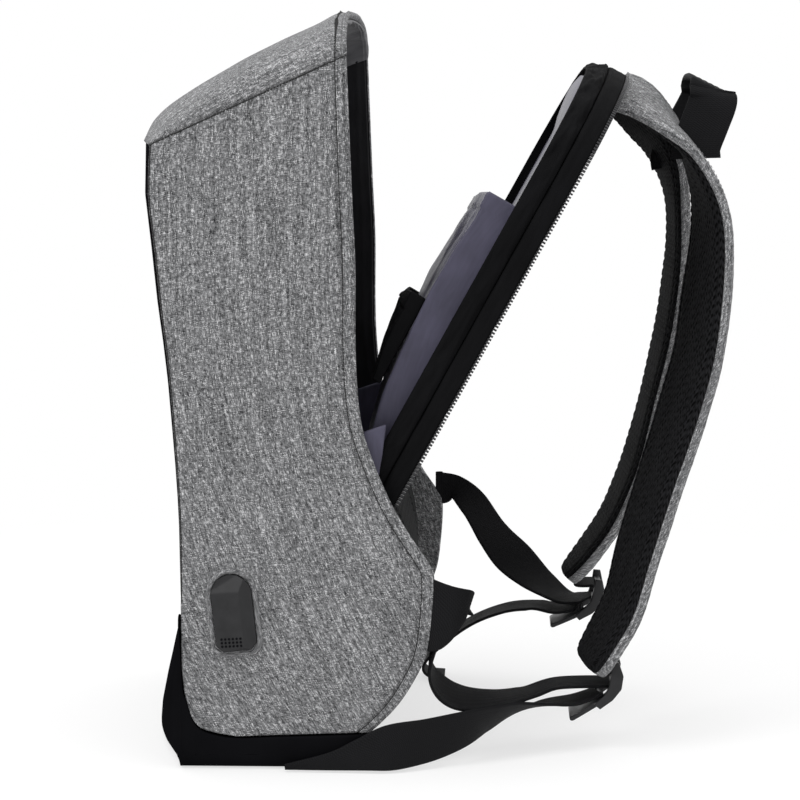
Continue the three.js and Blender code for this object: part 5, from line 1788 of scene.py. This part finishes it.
TAIL_ROUTES = {
    Side.RIGHT: [
        [84, 182, 30.5, 1, 0, 0, 1], [92, 164, 29.5, 0.99, 0, 0.12, 1], [103, 146, 28, 0.92, 0, 0.38, 1],
        [116, 131, 25.5, 0.78, 0, 0.62, 1], [130, 114, 22, 0.42, 0.03, 0.9, 1],
        [142, 92, 18, 0.1, 0.05, 0.99, 1], [150, 70, 15.4, -0.05, 0.1, 0.99, 1],
        [150.5, 52, 11, -0.05, 0.05, 0.99, 0.7], [149.5, 34, 6.6, 0, 0, 1, 0.4],
        [149, 6, 2.8, 0, 0, 1, 0.12],
    ],
    Side.LEFT: [
        [84, 176, 55, 1, 0, 0, 1], [94, 160, 55, 1, 0, 0, 1], [104, 140, 51, 1, 0, 0, 1],
        [112, 118, 41, 1, 0, 0, 1], [116, 98, 26, 1, 0, 0, 1], [118, 84, 11, 1, 0, 0, 1],
        [118, 86, 3.2, 1, 0, 0, 1], [118, 98, 1.3, 1, 0, 0, 1],
    ],
}


@dataclass
class LadderLock:
    """A moulded ladder lock: two curved rails, three bars and a lever."""

    side: Side
    wardrobe: Wardrobe
    offset: float = 80 * MM
    half: float = 20.5 * MM
    rail: float = 3.5 * MM
    bar: float = 2 * MM
    height: float = 30 * MM
    lever_slope: float = 32.0

    def spot(self, out: Array, up: Array) -> Array:
        """Return Y and Z of a place given in shares of the rail's height."""
        y, z, turn = LOCK_PLACES[self.side]
        angle = radians(turn)
        a, b = np.asarray(out) * self.height, np.asarray(up) * self.height
        return np.stack([
            y * MM + a * cos(angle) - b * sin(angle),
            z * MM + a * sin(angle) + b * cos(angle),
        ], -1)

    def prism(self, outline: Array, x_from: float, x_to: float, bevel: float) -> Array:
        """Return the rings of a prism across X with rounded ends.

        Args:
            outline: Closed outline in Y and Z.
            x_from: Where it starts.
            x_to: Where it ends.
            bevel: Radius of its rounded ends.

        Returns:
            The rings.
        """
        middle = outline.mean(axis=0)
        rings = []
        size = np.linalg.norm(outline - middle, axis=-1).mean()
        for x, inset in (
            (x_from, bevel), (x_from + 0.3 * bevel, 0.3 * bevel), (x_from + bevel, 0),
            (x_to - bevel, 0), (x_to - 0.3 * bevel, 0.3 * bevel), (x_to, bevel),
        ):
            shrunk = middle + (outline - middle) * (1 - inset / size)
            rings.append(np.column_stack([np.full(len(outline), x), shrunk]))
        return np.array(rings)

    def build(self) -> None:
        """Build the lock."""
        middle = self.side.value * self.offset
        rail = self.spot(*ring_of(np.array(LOCK_RAIL_PROFILE), 48).T)
        inner = self.half - self.rail
        parts = [
            self.prism(rail, middle + inner, middle + self.half, 0.7 * MM),
            self.prism(rail, middle - self.half, middle - inner, 0.7 * MM),
        ]
        angle = np.linspace(0, 2 * pi, 25)[:-1]
        for out, up in LOCK_BARS:
            round_ = self.spot(out, up) + self.bar * np.stack([np.cos(angle), np.sin(angle)], -1)
            parts.append(self.prism(round_, middle - inner - 1 * MM, middle + inner + 1 * MM, 0.2 * MM))
        start = self.spot(*LOCK_BARS[2])
        slope = radians(self.lever_slope + LOCK_PLACES[self.side][2])
        along = np.array([-cos(slope), -sin(slope)])
        over = np.array([sin(slope), -cos(slope)])
        shape = ring_of(np.array(LEVER_PROFILE) * MM, 40)
        lever = start + shape[:, :1] * along + shape[:, 1:] * over
        parts.append(self.prism(lever, middle - inner + 2 * MM, middle + inner - 2 * MM, 0.6 * MM))
        label = self.side.label
        plastic = self.wardrobe.plastic
        bodies = [loft(f"lock_part_{label}_{k}", part, plastic) for k, part in enumerate(parts)]
        lock = join(f"ladder_lock_{label}_moulding", bodies)
        place(lock, "moulded_plastic", f"ladder_lock_{label}")


def join(name: str, bodies: Sequence[Object]) -> Object:
    """Join several objects of one material into one.

    Args:
        name: Its name.
        bodies: The objects.

    Returns:
        The joined object.
    """
    together = bmesh.new()
    for body in bodies:
        together.from_mesh(body.data)
    mesh = bpy.data.meshes.new(name)
    together.to_mesh(mesh)
    together.free()
    for material in bodies[0].data.materials:
        mesh.materials.append(material)
    for body in bodies:
        bpy.data.objects.remove(body)
    return put(name, mesh)


@dataclass
class Webbings:
    """All the flat webbing: wing straps, tails, loops and the grab handle."""

    wardrobe: Wardrobe
    width: float = 30 * MM
    thickness: float = 1.8 * MM
    handle_rise: float = 36 * MM
    handle_bend: float = 9 * MM
    handle_thickness: float = 3 * MM
    handle_sewn: float = 8 * MM
    exit_way: tuple[float, float] = (-0.622, 0.783)

    def ribbon(
        self, name: str, centre: Array, across: Array, width: Array | float, thickness: float, node: str,
    ) -> None:
        """Build a flat ribbon with soft edges.

        Args:
            name: Its name.
            centre: Points along its middle.
            across: The way across at each point.
            width: Its width, at each point or throughout.
            thickness: Its thickness.
            node: The CAD node that it replaces.
        """
        tangent = unit(np.gradient(centre, axis=0))
        across = unit(across - tangent * np.sum(across * tangent, axis=-1, keepdims=True))
        normal = unit(np.cross(tangent, across))
        face = np.linspace(-0.96, 0.96, 15)
        top = np.stack([face, np.full_like(face, 0.5)], -1)
        tip = np.array([[1.0, 0.25], [1.0, -0.25]])
        section = np.concatenate([top, tip, -top, -tip])
        cords = 0.05 * np.cos(section[:, 0] * pi * 7)
        section[:, 1] += np.sign(section[:, 1]) * cords * (np.abs(section[:, 0]) < 0.95)
        half = np.reshape(width, (-1, 1, 1)) / 2
        rings = centre[:, None] + across[:, None] * section[None, :, :1] * half
        rings = rings + normal[:, None] * section[None, :, 1:] * thickness
        place(loft(name, rings, self.wardrobe.webbing), "webbing", node)

    def routed(self, name: str, rows: Rows, width: float, node: str) -> None:
        """Build a ribbon along rows of place, way across and taper, in millimetres."""
        table = smooth_rows(rows, (len(rows) - 1) * np.linspace(0, 1, 24 * (len(rows) - 1)))
        self.ribbon(name, table[:, :3] * MM, unit(table[:, 3:6]), width * table[:, 6], self.thickness, node)

    def wing_and_tail(self, lock: LadderLock) -> None:
        """Build the webbing from a wing to its lock, and its tail."""
        side, label = lock.side, lock.side.label
        sign = side.value
        gap_end, gap_side = 0.5 * MM, 0.3 * MM + self.thickness / 2

        def mirrored(rows: Rows, edge: float) -> list[list[float]]:
            """Return rows for this side, with Y counted from an edge."""
            return [[sign * x, y + edge, z, sign * ax, ay, az, t] for x, y, z, ax, ay, az, t in rows]

        entry = lock.spot(*LOCK_BARS[1]) + (lock.bar + gap_end) * np.array([-1.0, 0.0])
        exit_ = lock.spot(*LOCK_BARS[2]) + (lock.bar + gap_side) * np.array(self.exit_way)
        x = sign * lock.offset / MM
        entry_row = [x, entry[0] / MM, entry[1] / MM, sign, 0, 0, 1]
        exit_row = [x, exit_[0] / MM, exit_[1] / MM, sign, 0, 0, 1]
        route = WEBBING_ROUTES[side]
        sewn = [route[0][0] - 0.4, route[0][1] - 5, route[0][2], *route[0][3:]]
        rows = mirrored([sewn, *route], WING_EDGE) + [entry_row]
        self.routed(f"webbing_{label}_band", rows, self.width, f"webbing_{label}")
        rows = [exit_row] + mirrored(TAIL_ROUTES[side], 0)
        self.routed(f"webbing_tail_{label}_band", rows, self.width - 2 * MM, f"webbing_tail_{label}")

    def loop(self, lock: LadderLock, strap: Strap) -> None:
        """Build the short loop from a strap's end to its lock."""
        label, sign = lock.side.label, lock.side.value
        last = len(STRAP_ROWS[strap.side]) - 1
        centre, across, out = strap.station(np.array([last - 1.0, last - 0.5, float(last)]))
        lift = strap.cover + self.thickness / 2 + BAG.gap
        path = centre + out * lift
        top = lock.spot(*LOCK_BARS[0])
        bar = np.array([sign * lock.offset, top[0], top[1]])
        end = bar + unit(path[-1] - bar) * (lock.bar + 0.5 * MM)
        rows = np.concatenate([path, [end]])
        ways = np.concatenate([across, [[sign, 0, 0]]])
        at = 3 * np.linspace(0, 1, 60)
        table = smooth_rows(np.concatenate([rows, ways], axis=1), at)
        name = f"strap_loop_{label}"
        self.ribbon(f"{name}_band", table[:, :3], table[:, 3:], self.width, self.thickness, name)

    def handle(self, straps: dict[Side, Strap]) -> None:
        """Build the grab handle between the two straps."""
        feet = {}
        for side, station in ((Side.RIGHT, 8), (Side.LEFT, 7)):
            strap = straps[side]
            at = np.array([station - 1.0, station, station + 1.0]) / 2
            centre, _, out = strap.station(at)
            along = unit((centre[2] - centre[0]) * np.array([0, 1, 1]))
            feet[side] = (centre[1] + out[1] * (strap.cover + 0.6 * MM), along)
        top_way = np.array([0, 0.895, -0.446])
        right = feet[Side.RIGHT][0]
        top, top_y = right[2] + self.handle_rise, right[1] + 0.27 * self.handle_rise
        bend = self.handle_bend

        def leg(side: Side) -> list[Array]:
            """Return the rows of one leg, from its foot up."""
            foot, along = feet[side]
            half = abs(foot[0])
            corner = np.array([side.value * half, top_y, top - bend])
            near = np.array([side.value * (half - 0.3 * bend), top_y, top - 0.3 * bend])
            flat = np.array([side.value * (half - bend), top_y, top])
            sewn = foot - np.array([0, 0, self.handle_sewn])
            rows = []
            for point, share in (
                (sewn, 0), (foot, 0), ((foot + corner) / 2, 0.6), (corner, 1), (near, 1), (flat, 1),
            ):
                rows.append(np.concatenate([point, along * (1 - share) + top_way * share]))
            return rows

        middle = np.concatenate([[0, top_y, top + 1 * MM], top_way])
        rows = leg(Side.RIGHT) + [middle] + leg(Side.LEFT)[::-1]
        at = (len(rows) - 1) * np.linspace(0, 1, 260)
        table = smooth_rows(np.array(rows), at)
        name, thickness = "grab_handle", self.handle_thickness
        self.ribbon(f"{name}_band", table[:, :3], table[:, 3:], self.width, thickness, name)


@dataclass
class PortHousing:
    """The moulded housing on the right side, in its raised stitched border."""

    wardrobe: Wardrobe
    width: float = 24 * MM
    height: float = 46 * MM
    proud: float = 7 * MM
    border: float = 3.5 * MM
    centre_y: float = -24.5 * MM
    centre_z: float = 97 * MM
    tilt: float = radians(6)
    bulge_share: float = 0.72

    @property
    def seat(self) -> float:
        """Return the X of its foot."""
        return BAG.half_width + self.bulge_share * BAG.side_bulge + BAG.gap

    def outline(self, width: float, height: float, count: int = 120) -> Array:
        """Return a bullet outline, flat below and round above."""
        radius = width / 2
        foot = 0.15 * width
        angle = np.linspace(0, pi, 40)
        arc = np.stack([radius * np.cos(angle), height / 2 - radius + radius * np.sin(angle)], -1)
        low = np.array([
            [-radius, -height / 2 + foot],
            [-radius + foot, -height / 2],
            [radius - foot, -height / 2],
            [radius, -height / 2 + foot],
        ])
        return ring_of(np.concatenate([arc, low]), count)

    def lay(self, outline: Array, x: Array) -> Array:
        """Return an outline laid on the side, at a height off it."""
        across, up = outline[:, 0], outline[:, 1]
        y = self.centre_y + across * cos(self.tilt) - up * sin(self.tilt)
        z = self.centre_z + across * sin(self.tilt) + up * cos(self.tilt)
        return np.stack([np.broadcast_to(x, y.shape), y, z], -1)

    def build(self) -> None:
        """Build the housing, its border, its vents and its stitches."""
        full = self.outline(self.width, self.height, 240)
        rings = [self.lay(full, self.seat - 0.2 * MM)]
        for share in np.concatenate([[0, 0.02, 0.05], np.linspace(0.08, 0.95, 22)]):
            flat = full * (1 - share)
            rings.append(self.lay(flat, self.seat + self.proud * self.facets(flat)))
        housing = loft("port_housing_moulding", np.array(rings), self.wardrobe.plastic)
        housing.data.set_sharp_from_angle(angle=radians(28))
        place(housing, "moulded_plastic", "port_housing")
        self.vents()
        hole = self.outline(self.width + 0.6 * MM, self.height + 0.6 * MM)
        edge = self.outline(self.width + 2 * self.border, self.height + 2 * self.border)
        ring = []
        for share, lift in ((0, -0.5), (0, 0.6), (0.2, 1.3), (0.5, 1.55), (0.8, 1.3), (1, 0.2), (1, -0.5)):
            ring.append(self.lay(hole + (edge - hole) * share, self.seat + lift * MM))
        body = np.array(ring).transpose(1, 0, 2)
        run = np.arange(len(body))[:, None] * 1.1 * MM
        body[..., 0] += 0.25 * MM * gathers(run, np.zeros(len(ring)), 6 * MM, 9, 2.0)
        border = loft("port_border_cloth", body, self.wardrobe.canvas, caps=False)
        place(border, "melange_canvas", "port_border")
        path = self.lay(hole + (edge - hole) * 0.55, self.seat + 1.5 * MM)
        path = np.concatenate([path, path[:1]])
        ups = np.broadcast_to(np.array([1.0, 0, 0]), path.shape)
        repeat = PathRepeat(Mark.STITCH, 3.0 * MM, (2.1 * MM, 0.45 * MM, 0.4 * MM))
        place(repeat.along("port_stitches", [(path, ups)], self.wardrobe.grey_thread), "melange_canvas")

    def facets(self, flat: Array) -> Array:
        """Return how proud the moulding stands, from its cut facets.

        Args:
            flat: Places across and up on its face.

        Returns:
            Shares of its greatest height.
        """
        across, up = flat[:, 0] / self.width, flat[:, 1] / self.height
        face = 1.0 - 0.75 * (0.2 - across)
        right = 1.0 - 2.6 * (across - 0.2)
        crown = 1.0 - 3.0 * np.maximum(0, up - 0.22 - 0.25 * across)
        left = 1.0 - 5.5 * np.maximum(0, -0.40 - across)
        foot = 1.0 - 9.0 * np.maximum(0, -0.455 - up)
        return np.maximum(0.3, np.minimum.reduce([face, right, crown, left, foot]))

    def vents(self) -> None:
        """Set small dark matte studs near the housing's foot, painted shade standing for the vent holes."""
        lines = []
        for row in range(3):
            up = -0.5 * self.height + (3.4 + 2.2 * row) * MM
            ends = resample(np.array([[-0.36 * self.width, up], [0.16 * self.width - 0.8 * MM, up]]), 30)
            line = self.lay(ends, self.seat + self.proud * self.facets(ends) + 0.2 * MM)
            lines.append((line, np.broadcast_to(np.array([1.0, 0, 0]), line.shape)))
        repeat = PathRepeat(Mark.STUD, 2.15 * MM, (1.45 * MM, 1.45 * MM, 0.4 * MM))
        # The studs take the dark matte shell finish as painted shade of the vent holes.
        place(repeat.along("port_vent_shade_studs", lines, self.wardrobe.shell), "moulded_plastic")


# Name, place, length of the side in metres, and power in watts of each soft light.
LAMPS = (
    ("key", (1.4, -1.2, 2.0), 0.9, 24), ("fill", (1.8, 1.5, 1.0), 1.4, 2), ("top", (0, 0.2, 2.2), 1.6, 12),
)


@dataclass
class Studio:
    """The pale floor, the soft lights and the camera."""

    radius: float = 9.0
    floor_drop: float = 0.4 * MM
    shaded: tuple[float, float] = (0.2, 0.8)
    nearest_glow: float = 0.64
    target: Place = (0.145, 0.0754, 0.2254)
    camera: Place = (1.775, 0.1295, 0.4228)
    lit: Place = (0, 0.05, 0.22)
    lens: float = 124.5

    def floor(self) -> None:
        """Lay the floor, which turns to plain white away from the bag."""
        count = 64
        angle = np.linspace(0, 2 * pi, count + 1)[:-1]
        ring = self.radius * np.stack([np.cos(angle), np.sin(angle), 0 * angle], -1)
        points = np.concatenate([[[0, 0, 0]], ring]) - np.array([0, 0, self.floor_drop])
        faces = [[0, 1 + k, 1 + (k + 1) % count] for k in range(count)]
        mesh = bpy.data.meshes.new("floor")
        mesh.from_pydata(points.tolist(), [], faces)
        s = Shader("pale_floor")
        s.set(Base_Color=(0.93, 0.93, 0.93, 1), Roughness=0.7)
        length = s.node("ShaderNodeVectorMath", Vector=s.place())
        length.operation = "LENGTH"
        climb = s.node("ShaderNodeMapRange", Value=length.outputs["Value"])
        climb.inputs["From Min"].default_value, climb.inputs["From Max"].default_value = self.shaded
        climb.inputs["To Min"].default_value = self.nearest_glow
        mix = s.node("ShaderNodeMixShader")
        for socket, source in zip(mix.inputs, (climb, s.surface, s.node("ShaderNodeEmission"))):
            s.wire(socket, source.outputs[0])
        s.wire(s.tree.nodes["Material Output"].inputs[0], mix.outputs[0])
        mesh.materials.append(s.material)
        put("floor", mesh)

    def aim(self, name: str, data: bpy.types.ID, where: Place, target: Place) -> Object:
        """Put a lamp or the camera in its place, turned to a target.

        Args:
            name: Its name.
            data: The lamp or the lens.
            where: Its place.
            target: The place that it faces.

        Returns:
            The object.
        """
        item = put(name, data)
        item.location = where
        item.rotation_euler = (Vector(target) - Vector(where)).to_track_quat("-Z", "Y").to_euler()
        return item

    def build(self) -> None:
        """Set the whole studio."""
        scene = bpy.context.scene
        scene.view_settings.view_transform = "Standard"
        self.floor()
        world = bpy.data.worlds.new("studio")
        world.use_nodes = True
        world.node_tree.nodes["Background"].inputs[0].default_value = (1, 1, 1, 1)
        scene.world = world
        for name, where, size, power in LAMPS:
            lamp = bpy.data.lights.new(name, "AREA")
            lamp.size, lamp.energy = size, power
            self.aim(name, lamp, where, self.lit)
        lens = bpy.data.cameras.new("camera")
        lens.lens = self.lens
        lens.clip_end = 60
        scene.camera = self.aim("camera", lens, self.camera, self.target)


def main() -> None:
    """Build the bag, piece by piece, and the studio round it."""
    logging.basicConfig(level=logging.INFO, format="%(name)s: %(message)s")
    Studio().build()
    wardrobe = Wardrobe()
    for side in Side:
        SidePanel(side, wardrobe).build()
    Roof(wardrobe).build()
    Front(wardrobe).build()
    Boot(wardrobe).build()
    LowerBack(wardrobe).build()
    RearPanel(wardrobe).build()
    straps = {side: Strap(side, wardrobe) for side in Side}
    webbings = Webbings(wardrobe)
    for side, strap in straps.items():
        strap.build()
        lock = LadderLock(side, wardrobe)
        lock.build()
        webbings.wing_and_tail(lock)
        webbings.loop(lock, strap)
    webbings.handle(straps)
    PortHousing(wardrobe).build()


if __name__ == "__main__":
    main()
